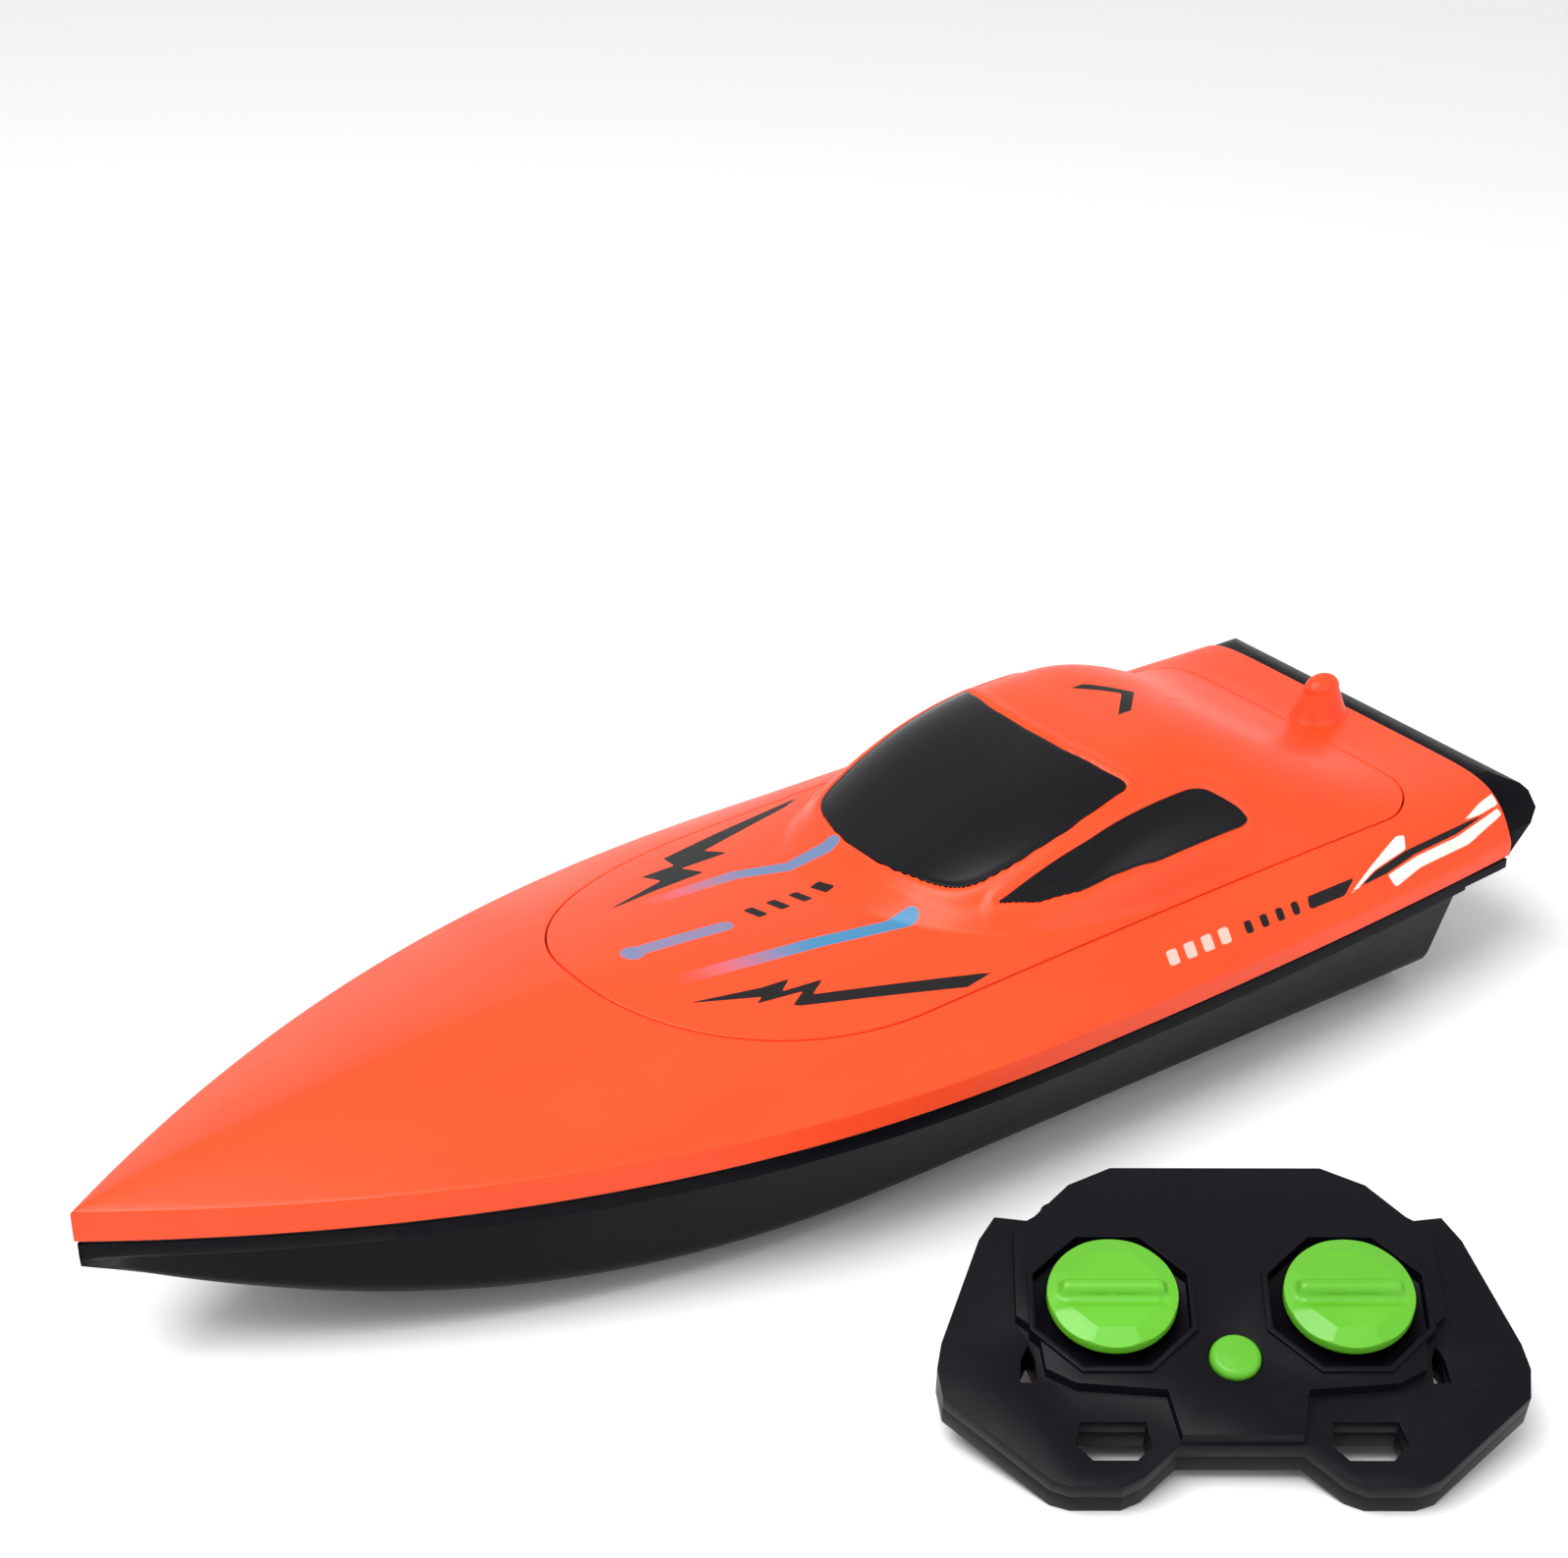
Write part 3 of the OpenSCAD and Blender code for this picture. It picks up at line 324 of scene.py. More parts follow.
def settle(name, mesh, body, finish, replaces, crease=40):
    """Shades the mesh smooth up to the crease angle and hands the piece to the frame."""
    mesh.polygons.foreach_set("use_smooth", np.ones(len(mesh.polygons), bool))
    mesh.set_sharp_from_angle(angle=math.radians(crease))
    mesh.materials.clear()
    mesh.materials.append(material(finish))
    obj = bpy.data.objects.new(name, mesh)
    bpy.context.scene.collection.objects.link(obj)
    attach(obj, body)
    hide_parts(*replaces)


def rounded_copy(node, body, finish, radius, segments):
    """A copy of a CAD node's mesh, merged, with its flats made whole and its corners, the edges that fold
    by more than 25 degrees, rounded."""
    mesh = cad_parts[node].data.copy()
    bm = bmesh.new()
    bm.from_mesh(mesh)
    bmesh.ops.remove_doubles(bm, verts=bm.verts, dist=1e-6)
    bmesh.ops.dissolve_limit(bm, angle_limit=math.radians(1), verts=bm.verts, edges=bm.edges)
    edges = [e for e in bm.edges if len(e.link_faces) == 2 and e.calc_face_angle(0) > math.radians(25)]
    bmesh.ops.bevel(bm, geom=edges, offset=radius * MM, offset_type="OFFSET", segments=segments, profile=0.5,
                    affect="EDGES", clamp_overlap=True)
    bmesh.ops.triangulate(bm, faces=[f for f in bm.faces if len(f.verts) > 4])
    bm.to_mesh(mesh)
    bm.free()
    settle(node + "_skin", mesh, body, finish, (node,))


def full_turn(sides):
    """Angles of a whole turn, in radians."""
    return np.linspace(0, 2 * np.pi, sides, endpoint=False)


def revolved(profile, sides):
    """Grid of the (radius, height) points of a profile turned about +Z."""
    turn = full_turn(sides)
    r, z = np.asarray(profile, float).T[:, :, None]
    return np.stack([r * np.cos(turn), r * np.sin(turn), np.broadcast_to(z, (len(z), sides))], axis=-1)


def lathe(surface, profile, sides, centre=(0, 0, 0)):
    """Adds a closed solid of revolution about +Z, its ends closed by fans."""
    numbers = surface.add(revolved(profile, sides) + centre, close_cols=True)
    surface.cap(numbers[0])
    surface.cap(numbers[-1])


def arc(cx, cz, radius, start, stop, steps):
    """Points of an arc in a profile, from one angle to another in degrees."""
    a = np.radians(np.linspace(start, stop, steps))
    return list(zip(cx + radius * np.cos(a), cz + radius * np.sin(a)))


def distance_to_edge(x, y, x1, y1, ex, ey):
    """Distance from points to the straight edge (ex, ey) that starts at (x1, y1)."""
    t = np.clip(((x - x1) * ex + (y - y1) * ey) / max(ex * ex + ey * ey, 1e-12), 0, 1)
    return np.hypot(x - x1 - t * ex, y - y1 - t * ey)


def distance_to(x, y, outline):
    """Distance from points to a closed outline, negative inside: the least over its edges, signed by how
    many edges a ray to the right crosses."""
    best = np.full(np.shape(x), 1e9)
    inside = np.zeros(np.shape(x), bool)
    for (x1, y1), (x2, y2) in zip(outline, np.roll(outline, -1, axis=0)):
        ex, ey = x2 - x1, y2 - y1
        best = np.minimum(best, distance_to_edge(x, y, x1, y1, ex, ey))
        crossing = (y1 > y) != (y2 > y)
        inside ^= crossing & (x < x1 + (y - y1) * ex / (ey if ey else 1e-9))
    return np.where(inside, -best, best)


def distance_to_line(x, y, points):
    """Distance from points to an open polyline."""
    return np.min([distance_to_edge(x, y, x1, y1, x2 - x1, y2 - y1)
                   for (x1, y1), (x2, y2) in zip(points[:-1], points[1:])], axis=0)


def rounded_outline(outline, reach):
    """Rounds an outline by cutting each corner, at most reach mm along its sides, three times over."""
    p = np.asarray(outline, float)
    for _ in range(3):
        q = np.roll(p, -1, axis=0)
        side = np.hypot(*(q - p).T)[:, None]
        cut = np.minimum(0.25, reach / np.maximum(side, 1e-6))
        p = np.stack([p + (q - p) * cut, q - (q - p) * cut], axis=1).reshape(-1, 2)
        reach = reach / 2.5
    return p


def even_outline(outline, count):
    """The same closed outline with evenly spaced points."""
    p = np.concatenate([outline, outline[:1]])
    s = np.concatenate([[0], np.cumsum(np.hypot(*np.diff(p, axis=0).T))])
    t = np.linspace(0, s[-1], count, endpoint=False)
    return np.stack([np.interp(t, s, p[:, 0]), np.interp(t, s, p[:, 1])], axis=1)


def outward(outline):
    """Unit normals of a closed outline in its plane, from the chords between each point's neighbours."""
    chord = np.roll(outline, -1, axis=0) - np.roll(outline, 1, axis=0)
    n = np.stack([chord[:, 1], -chord[:, 0]], axis=1) / np.maximum(np.hypot(*chord.T), 1e-9)[:, None]
    area = np.sum(outline[:, 0] * np.roll(outline[:, 1], -1) - np.roll(outline[:, 0], -1) * outline[:, 1])
    return n if area > 0 else -n


def strip(x, half, across):
    """Plan of a patch across the boat: at each x, evenly spaced points from starboard to port."""
    share = np.linspace(-1, 1, across)
    return np.stack([x[:, None] + 0 * share, half[:, None] * share], axis=-1)


def laid_plate(surface, xy, height, top, wall, edge, rings=False):
    """A plate on the height field: the grid xy lifted by top, its edge turned over by a quarter circle of
    radius edge, an upright side, and the same grid again a wall lower. The grid is a patch, or rings that
    shrink from the outline to a centre."""
    z = height(xy[..., 0], xy[..., 1]) + top
    upper, lower = (surface.add(np.concatenate([xy, level[..., None]], axis=-1), close_cols=rings)
                    for level in (z, z - wall))
    loop, under = (upper[0], lower[0]) if rings else (edge_loop(upper), edge_loop(lower))
    line = surface.all_points()[loop]
    n = outward(line[:, :2]) * edge
    rows = [np.column_stack([line[:, :2] + n * np.sin(a), line[:, 2] - edge * (1 - np.cos(a))])
            for a in np.radians([30, 60, 90])]
    rows.append(np.column_stack([line[:, :2] + n, line[:, 2] - wall]))
    side = surface.add(np.stack(rows), close_cols=True)
    surface.join(loop, side[0])
    surface.join(side[-1], under)


# ---------- shader maths ----------

class Wire:
    """A node's output socket with the usual operators, each of which adds a Math node."""

    def __init__(self, tree, socket):
        self.tree = tree
        self.socket = socket

    def math(self, operation, *values):
        """A Math node of values, which are wires or numbers; with none, of this wire alone."""
        return add_node(self.tree, "ShaderNodeMath", {"operation": operation},
                        dict(enumerate(values or (self,))))

    def __add__(self, other):
        return self.math("ADD", self, other)

    __radd__ = __add__

    def __sub__(self, other):
        return self.math("SUBTRACT", self, other)

    def __rsub__(self, other):
        return self.math("SUBTRACT", other, self)

    def __mul__(self, other):
        return self.math("MULTIPLY", self, other)

    __rmul__ = __mul__

    def into(self, shader, name):
        """Links this wire to one of the shader's inputs."""
        self.tree.links.new(self.socket, shader.inputs[name])

    def within(self, low, high):
        """0 below low, 1 above high and a smooth ramp between."""
        return add_node(self.tree, "ShaderNodeMapRange", {"interpolation_type": "SMOOTHSTEP"},
                        {"Value": self, "From Min": low, "From Max": high})


def add_node(tree, kind, settings=None, inputs=None, output=0):
    """Adds a node, sets its settings, then its inputs by name or number, and returns one output."""
    node = tree.nodes.new(kind)
    for key, value in (settings or {}).items():
        setattr(node, key, value)
    for key, value in (inputs or {}).items():
        if isinstance(value, Wire):
            tree.links.new(value.socket, node.inputs[key])
        else:
            node.inputs[key].default_value = value
    return Wire(tree, node.outputs[output])


def rgba(colour, factor=1.0):
    return tuple(min(c * factor, 1.0) for c in colour) + (1.0,)


def mix_colour(tree, factor, a, b):
    """Mixes two colours, or sockets of colours."""
    return add_node(tree, "ShaderNodeMix", {"data_type": "RGBA"}, {0: factor, 6: a, 7: b}, output=2)


def place(tree):
    """The point being shaded, in the object's own metres."""
    return add_node(tree, "ShaderNodeTexCoord", output=3)


def axis(tree, which):
    """One coordinate of the point, in metres."""
    return add_node(tree, "ShaderNodeSeparateXYZ", {}, {0: place(tree)}, output=which)


def noise(tree, scale, detail=3.0, rough=0.5, stretch=None):
    """Noise on the object's own coordinates; stretch scales them first."""
    vector = place(tree)
    if stretch:
        vector = add_node(tree, "ShaderNodeMapping", {}, {"Vector": vector, "Scale": stretch})
    return add_node(tree, "ShaderNodeTexNoise", {}, {"Vector": vector, "Scale": scale, "Detail": detail,
                                                     "Roughness": rough})


def new_material(name, colour, roughness, metallic=0.0, coat=0.0, coat_rough=0.1, specular=0.5, ior=1.5):
    """A Principled material: fixed values sit on the shader, varying ones are linked to it."""
    mat = bpy.data.materials.new(name)
    mat.use_nodes = True
    tree = mat.node_tree
    shader = tree.nodes["Principled BSDF"]
    fixed = {"Base Color": rgba(colour), "Roughness": roughness, "Metallic": metallic, "Coat Weight": coat,
             "Coat Roughness": coat_rough, "Specular IOR Level": specular, "IOR": ior}
    for key, value in fixed.items():
        shader.inputs[key].default_value = value
    mat.diffuse_color = rgba(colour)
    return mat, tree, shader


def bump(tree, shader, height, strength, distance):
    """A Bump node from a height wire to the shader's normal."""
    normal = add_node(tree, "ShaderNodeBump", {}, {"Height": height, "Strength": strength,
                                                   "Distance": distance})
    normal.into(shader, "Normal")


def moulded(name, colour, roughness, coat, spread=0.06, grain=0.00003, dust=0.06, ior=1.4):
    """Injection-moulded plastic: faint flow marks in its colour, patches of wiped gloss, fine grain, dust."""
    mat, tree, shader = new_material(name, colour, roughness, coat=coat, coat_rough=0.3, ior=ior)
    flow = noise(tree, 14, 4, 0.55, (1, 2.5, 2.5))
    shade = mix_colour(tree, flow.within(0.35, 0.7), rgba(colour, 0.93), rgba(colour, 1.05))
    specks = noise(tree, 900, 2, 0.7).within(0.66, 0.78) * dust
    shade = mix_colour(tree, specks, shade, (0.5, 0.46, 0.42, 1))
    shade.into(shader, "Base Color")
    wiped = noise(tree, 32, 5, 0.6).within(0.3, 0.75) * spread + (roughness - spread / 2)
    scuffs = noise(tree, 260, 3, 0.5, (0.12, 1, 1)).within(0.62, 0.72) * 0.1
    (wiped + scuffs).into(shader, "Roughness")
    bump(tree, shader, noise(tree, 1400, 2, 0.5), 0.25, grain)
    return mat


def rubber(name, colour):
    """Matt rubber with a fine pebble and a dusty bloom."""
    mat, tree, shader = new_material(name, colour, 0.75, specular=0.35)
    bloom = noise(tree, 60, 4).within(0.45, 0.8) * 0.25
    mix_colour(tree, bloom, rgba(colour), rgba([c + 0.05 for c in colour])).into(shader, "Base Color")
    (noise(tree, 90, 3) * 0.2 + 0.62).into(shader, "Roughness")
    bump(tree, shader, noise(tree, 1100, 3), 0.4, 0.00006)
    return mat


def bare_metal(name, colour, roughness):
    """Drawn or ground metal: fine lines along its length and a few darker stains."""
    mat, tree, shader = new_material(name, colour, roughness, metallic=1.0)
    lines = noise(tree, 700, 3, 0.6, (1, 12, 12))
    stain = noise(tree, 45, 4).within(0.55, 0.8) * 0.35
    mix_colour(tree, stain, rgba(colour), rgba(colour, 0.6)).into(shader, "Base Color")
    (lines * 0.22 + (roughness - 0.1)).into(shader, "Roughness")
    bump(tree, shader, lines, 0.2, 0.00003)
    return mat


def webbing(name, colour):
    """Woven strap: two crossed sets of ribs, with painted shade in the weave's hollows and a painted sheen on
    its ribs.
    """
    mat, tree, shader = new_material(name, colour, 0.85)
    ribs = (axis(tree, 1) * 5200).math("SINE") * (axis(tree, 0) * 5200).math("SINE")
    # Painted shade and painted sheen: the strap's colour follows the ribs' height, darker in the hollows and
    # lighter on the ribs.
    shade = mix_colour(tree, ribs.within(-0.6, 0.6), rgba(colour, 0.6), rgba([c + 0.02 for c in colour]))
    shade.into(shader, "Base Color")
    bump(tree, shader, ribs, 0.6, 0.0002)
    return mat


def board_finish(name):
    """Solder mask with lighter tracks and dots of solder."""
    mat, tree, shader = new_material(name, (0.012, 0.1, 0.035), 0.35, coat=0.4)
    tracks = (axis(tree, 0) * 1500 + noise(tree, 50, 1) * 9).math("SINE").within(0.82, 0.95)
    base = mix_colour(tree, tracks * 0.5, (0.01, 0.085, 0.03, 1), (0.03, 0.22, 0.08, 1))
    dots = add_node(tree, "ShaderNodeTexVoronoi", {}, {"Vector": place(tree), "Scale": 330.0})
    solder = 1 - dots.within(0.16, 0.24)
    mix_colour(tree, solder, base, (0.55, 0.55, 0.52, 1)).into(shader, "Base Color")
    (noise(tree, 120, 3) * 0.25 + 0.28).into(shader, "Roughness")
    bump(tree, shader, tracks + solder, 0.3, 0.0001)
    return mat


def cell_finish(name, colour, band):
    """Shrink film over round cells: a lighter band and soft wrinkles, no lettering."""
    mat, tree, shader = new_material(name, colour, 0.3, coat=0.5)
    along_x = axis(tree, 0) + noise(tree, 8, 1) * 0.0006
    stripe = (along_x * 190).math("SINE").within(0.55, 0.62)
    mix_colour(tree, stripe, rgba(colour), rgba(band)).into(shader, "Base Color")
    (noise(tree, 160, 4) * 0.3 + 0.18).into(shader, "Roughness")
    bump(tree, shader, noise(tree, 240, 3, 0.6, (1, 0.3, 0.3)), 0.35, 0.0002)
    return mat


_made = {}


def material(name):
    """Each of the object's finishes, made once."""
    if name not in _made:
        c = colours()
        clean = {"dust": 0.015}
        makers = {
            "hull_black": (moulded, (c.hull, 0.36, 0.0), {**clean, "ior": 1.16}),
            "window_gloss": (moulded, (c.window, 0.24, 0.0),
                             {**clean, "spread": 0.05, "grain": 1e-5, "ior": 1.26}),
            "handset_black": (moulded, (c.handset, 0.4, 0.0),
                              {**clean, "spread": 0.12, "grain": 8e-5, "ior": 1.2}),
            "deck_marked": (marked_plastic, (), {}),
            "fin_orange": (orange_plastic, (), {}),
            "cap_green": (moulded, (c.cap, 0.36, 0.08), {"dust": 0.02, "ior": 1.38}),
            "fitting_black": (moulded, ((0.02, 0.02, 0.022), 0.5, 0.0), {"grain": 1e-4}),
            "switch_white": (moulded, ((0.7, 0.7, 0.66), 0.45, 0.0), {}),
            "propeller_black": (moulded, ((0.02, 0.02, 0.02), 0.35, 0.2), {}),
            "seal_rubber": (rubber, ((0.02, 0.02, 0.02),), {}),
            "aerial_black": (rubber, ((0.015, 0.015, 0.015),), {}),
            "screw_steel": (bare_metal, ((0.6, 0.6, 0.62), 0.32), {}),
            "motor_steel": (bare_metal, ((0.62, 0.62, 0.64), 0.28), {}),
            "shaft_steel": (bare_metal, ((0.7, 0.7, 0.72), 0.22), {}),
            "spring_steel": (bare_metal, ((0.68, 0.68, 0.68), 0.25), {}),
            "tube_brass": (bare_metal, ((0.72, 0.5, 0.2), 0.28), {}),
            "strap_fabric": (webbing, ((0.015, 0.015, 0.016),), {}),
            "circuit_green": (board_finish, (), {}),
            "cell_wrap": (cell_finish, ((0.02, 0.09, 0.35), (0.5, 0.55, 0.6)), {}),
            "cell_jacket": (cell_finish, ((0.012, 0.012, 0.014), (0.62, 0.33, 0.05)), {}),
        }
        make, values, options = makers[name]
        _made[name] = make(name, *values, **options)
    return _made[name]


def orange_plastic(name):
    """The plastic of the deck, the hatch cover and the fin."""
    return moulded(name, colours().deck, 0.38, 0.06, dust=0.015, ior=1.33)


def marked_plastic(name):
    """Deck plastic with its printed marks: each mark is how deep inside its outline a point lies, in mm."""
    c = colours()
    mat = orange_plastic(name)
    tree = mat.node_tree
    shader = tree.nodes["Principled BSDF"]
    base = Wire(tree, shader.inputs["Base Color"].links[0].from_socket)
    rough = Wire(tree, shader.inputs["Roughness"].links[0].from_socket)
    edge = noise(tree, 700, 2) * 0.1 - 0.05
    cover = {}
    for mark in ("blue", "white", "black"):
        depth = add_node(tree, "ShaderNodeAttribute", {"attribute_name": mark}, output=2)
        cover[mark] = (depth + edge).within(0.02, 0.22)
    fade = add_node(tree, "ShaderNodeAttribute", {"attribute_name": "fade"}, output=2)
    shade = mix_colour(tree, cover["blue"] * fade, base, rgba(c.stripe))
    shade = mix_colour(tree, cover["white"] * fade, shade, rgba(c.flash))
    shade = mix_colour(tree, cover["black"], shade, rgba(c.mark))
    shade.into(shader, "Base Color")
    (rough + cover["black"] * 0.12).into(shader, "Roughness")
    return mat


# ---------- printed marks, in millimetres on the deck's plan ----------

PORT_BOLT = [(43.7, 21), (24.5, 25.3), (17, 26), (21, 28.6), (10.5, 29.8), (15.5, 32.7), (-25, 46.3),
             (-16.5, 47.4), (20, 34.6), (22, 33.4), (17.5, 31), (29, 29.2), (26.5, 28)]
STARBOARD_BOLT = [(36.5, -22), (19.4, -23.3), (6, -23.4), (8.3, -29.6), (-4.6, -28.8), (-1.6, -34.6),
                  (-31, -42.3), (-38, -46), (-10, -42.5), (7.3, -39.5), (8.5, -33), (17.6, -33.6),
                  (16, -27.4)]
ROOF_CHEVRON = [(-92, -9), (-101, 0), (-92, 9), (-96.5, 9), (-105.5, 0), (-96.5, -9)]
# Each stripe: its three points, half width, where along the boat it is solid and has faded, and strength
STRIPES = [
    ((-19, 23.2), (4.5, 18.7), (42, 13.8), 2.0, 4, 42, 1.0),
    ((-20, -8.8), (2, -17), (34, -19.5), 2.2, -4, 30, 0.9),
    ((43, 0), (30, 1), (18, 2.2), 2.0, 300, 301, 0.8),
]
BOW_DOT = (42, 0.2)
DOT_R = 2.9
FAR_OUTSIDE = -9.0


def slanted_bars(first, last, count, width, low, high, slant):
    """Parallel bars from first to last along the boat, between two distances from the centreline."""
    bars = []
    for x in np.linspace(first, last, count):
        bars.append([(x, low), (x - width, low), (x - width - slant, high), (x - slant, high)])
    return bars


def deepest(x, y, outlines):
    """How deep a point lies inside any of the outlines, in mm, negative outside."""
    return np.max([-distance_to(x, y, o) for o in outlines], axis=0)


def hatch_marks(x, y):
    """Bolts, centre bars and roof chevron in black; the three stripes in blue with their fading."""
    bars = slanted_bars(11, -8, 4, 3, -1.5, 3.5, 1.5)
    black = deepest(x, y, [PORT_BOLT, STARBOARD_BOLT, ROOF_CHEVRON] + bars)
    blue = np.full(np.shape(x), FAR_OUTSIDE)
    fade = np.zeros(np.shape(x))
    for a, b, c, half, solid, clear, strength in STRIPES:
        depth = half - distance_to_line(x, y, (a, b, c))
        share = strength * (1 - smooth((x - solid) / (clear - solid)))
        fade = np.where(depth > blue, share, fade)
        blue = np.maximum(blue, depth)
    dot = DOT_R - np.hypot(x - BOW_DOT[0], y - BOW_DOT[1])
    fade = np.where(dot > blue, 0.85, fade)
    return {"black": black, "white": np.full(np.shape(x), FAR_OUTSIDE), "blue": np.maximum(blue, dot),
            "fade": fade}


# The quarter marks are drawn in port's half and stand on both
QUARTER_BAR = [(-109, 61.2), (-110.5, 58.5), (-127, 58.3), (-121, 61)]
QUARTER_SWOOSH = [(-124.5, 60.6), (-133, 58.6), (-145, 57), (-160, 56.2), (-178.6, 55.2), (-162, 57.5),
                  (-147, 58.4), (-136, 59.9)]
QUARTER_RISE = [(-121.5, 61.2), (-131.4, 57.9), (-144.5, 53.6), (-147.2, 54), (-145, 57), (-133, 58.6),
                (-126, 60.6)]
QUARTER_SWEEP = [(-136, 60), (-147, 58.6), (-162, 57.7), (-178.6, 55.3), (-179.3, 56.6), (-165, 59.4),
                 (-147, 60.6), (-137, 62.3)]
QUARTER_CORNER = [(-166, 55.6), (-174, 53.2), (-179.4, 52.2), (-179.4, 54.8), (-172, 55.6)]


def quarter_marks(x, y):
    """Bars, flash and swoosh on both quarters of the deck."""
    side = np.abs(y)
    dashes = slanted_bars(-89, -104, 4, 2.6, 61.2, 58.4, 0.9)
    pale = slanted_bars(-65, -81, 4, 3.4, 61.4, 57.9, 1.2)
    black = deepest(x, side, [QUARTER_BAR, QUARTER_SWOOSH] + dashes)
    white = deepest(x, side, [QUARTER_RISE, QUARTER_SWEEP, QUARTER_CORNER] + pale)
    fade = 0.55 + 0.45 * smooth((-95 - x) / 20)
    return {"black": black, "white": white, "blue": np.full(np.shape(x), FAR_OUTSIDE), "fade": fade}


# ---------- the boat's pieces ----------

TOP_ROWS = 50
LEDGE_W = 4
LEDGE_T = 1.6
SEAL_T = 1.2
WEB = 1.6
TOWER_X = BOW - 44
TOWER_R = 4
STERN_SCREW = (STERN + 8, 40)


def under(outline, drop):
    """An outline laid on the deck without the cabin, lowered by drop."""
    x, y = outline.T
    return at(outline, deck_height(x, y) - cabin(x, y) - drop)


def make_deck():
    """The deck is a closed ring of cross-sections: over the top from the hatch's seam to the rim, down the
    rim, back under, and round the ledge that the hatch sits on. Screw towers stand under it."""
    s = sizes()
    wall = s.deck_wall / MM
    r, e = s.seam_round / MM, 0.55
    rim, rim_in, web = whole(rim_half(0)), whole(rim_half(wall)), whole(seam_half(-WEB))
    seam_top, shoulder = whole(seam_half(-r)), whole(rim_half(e))
    rows = [on_deck(whole(seam_half(-r * (1 - math.cos(a)))), r * (1 - math.sin(a)))
            for a in np.radians([0, 30, 60])]
    rows += [on_deck(seam_top * (1 - t) + shoulder * t) for t in np.linspace(0, 1, TOP_ROWS)]
    corner = on_deck(rim)
    low = corner - [0, 0, e]
    rows += [(1 - t) ** 2 * rows[-1] + 2 * t * (1 - t) * corner + t * t * low for t in (0.3, 0.6)]
    rows += [low * (1 - t) + at(rim, RIM_Z + 0.3) * t for t in np.linspace(0, 1, 6)]
    rows += [at(whole(rim_half(0.25)), RIM_Z), at(rim_in, RIM_Z)]
    for t in np.linspace(0.97, 0.05, 14):
        line = web * (1 - t) + rim * t
        rows.append(at(web * (1 - t) + rim_in * t, deck_height(line[:, 0], line[:, 1]) - wall))
    ledge = whole(seam_half(LEDGE_W))
    drop = wall + SEAL_T
    rows += [under(web, wall), under(web, drop + LEDGE_T), under(ledge, drop + LEDGE_T), under(ledge, drop),
             under(whole(seam_half(0)), drop)]
    surface = Surface()
    surface.add(np.stack(rows), close_rows=True, close_cols=True)
    for x, y in ((TOWER_X, 0), (STERN_SCREW[0], STERN_SCREW[1]), (STERN_SCREW[0], -STERN_SCREW[1])):
        top = float(deck_height(x, y)) - 0.6 * wall
        lathe(surface, [(1.3, top - 2), (1.3, SEAT_Z), (TOWER_R - 0.3, SEAT_Z), (TOWER_R, SEAT_Z + 0.3),
                        (TOWER_R, top)], 40, (x, y, 0))
    marks = quarter_marks(*surface.all_points()[:, :2].T)
    new_piece("deck_skin", surface, "boat", "deck_marked", ("deck",), marks)


def cover_half_width(x, inset):
    """Half width of the hatch cover: an ellipse forward, straight, then round corners aft."""
    ahead = (x - HATCH_MID) / (HATCH_FRONT - HATCH_MID - inset)
    fore = (HATCH_HALF - inset) * np.sqrt(np.clip(1 - ahead ** 2, 0, 1))
    corner = HATCH_HALF - HATCH_CORNER + np.sqrt(
        np.clip((HATCH_CORNER - inset) ** 2 - (x - HATCH_END - HATCH_CORNER) ** 2, 0, None))
    return np.where(x > HATCH_MID, fore, np.where(x < HATCH_END + HATCH_CORNER, corner, HATCH_HALF - inset))


WINDSHIELD_HALF = [(-71, 0.01), (-71.5, 14), (-74.5, 25), (-77.5, 29.5), (-76, 31), (-57, 32), (-43, 30.5),
                   (-34, 28.5), (-29.5, 26), (-26, 21), (-23, 12), (-22, 4)]
SIDE_WINDOW = [(-35, 33.5), (-61, 35.2), (-92, 35), (-96, 35.8), (-104, 40.5), (-105.5, 42.5), (-103, 43.2),
               (-77, 43.4), (-55, 41.5), (-44, 38.5)]
WINDSHIELD = rounded_outline(WINDSHIELD_HALF + [(x, -y) for x, y in WINDSHIELD_HALF[::-1]], 1.4)
SIDE_LEFT = rounded_outline(SIDE_WINDOW, 0.8)
SIDE_RIGHT = SIDE_LEFT * [1, -1]
WINDOW_GAP = 0.1
WINDOW_PROUD = 0.55
WINDOW_T = 0.6
WINDOW_RINGS = 26


def bead(x, y):
    """The raised bead round the windows: full height from 0.4 to 1.5 mm outside the outline, then a
    smoothstep down to nothing at 4.1 mm, and a sharp step down to the window."""
    lift = np.zeros(np.shape(x))
    for outline in (WINDSHIELD, SIDE_LEFT, SIDE_RIGHT):
        d = distance_to(x, y, outline)
        lift = np.maximum(lift, smooth((d + 0.1) / 0.5) * (1 - smooth((d - 1.5) / 2.6)))
    return sizes().frame_bead / MM * lift


def make_hatch():
    """The cover is a plate on the deck's height field, its grid drawn in towards the round front."""
    s = sizes()
    r = s.seam_round / MM
    inset = HATCH_GAP + r
    u = np.linspace(0, 1, 340)
    aft, fore = HATCH_END + inset, HATCH_FRONT - inset
    x = aft + (fore - aft) * (1 - (1 - u ** 1.2) ** 1.5)
    half = np.maximum(cover_half_width(x, inset), 0.5)
    surface = Surface()
    laid_plate(surface, strip(x, half, 150), lambda px, py: deck_height(px, py) + bead(px, py), 0,
               s.deck_wall / MM, r)
    marks = hatch_marks(*surface.all_points()[:, :2].T)
    new_piece("hatch_skin", surface, "hatch", "deck_marked", ("hatch_cover",), marks,
              crease=60)


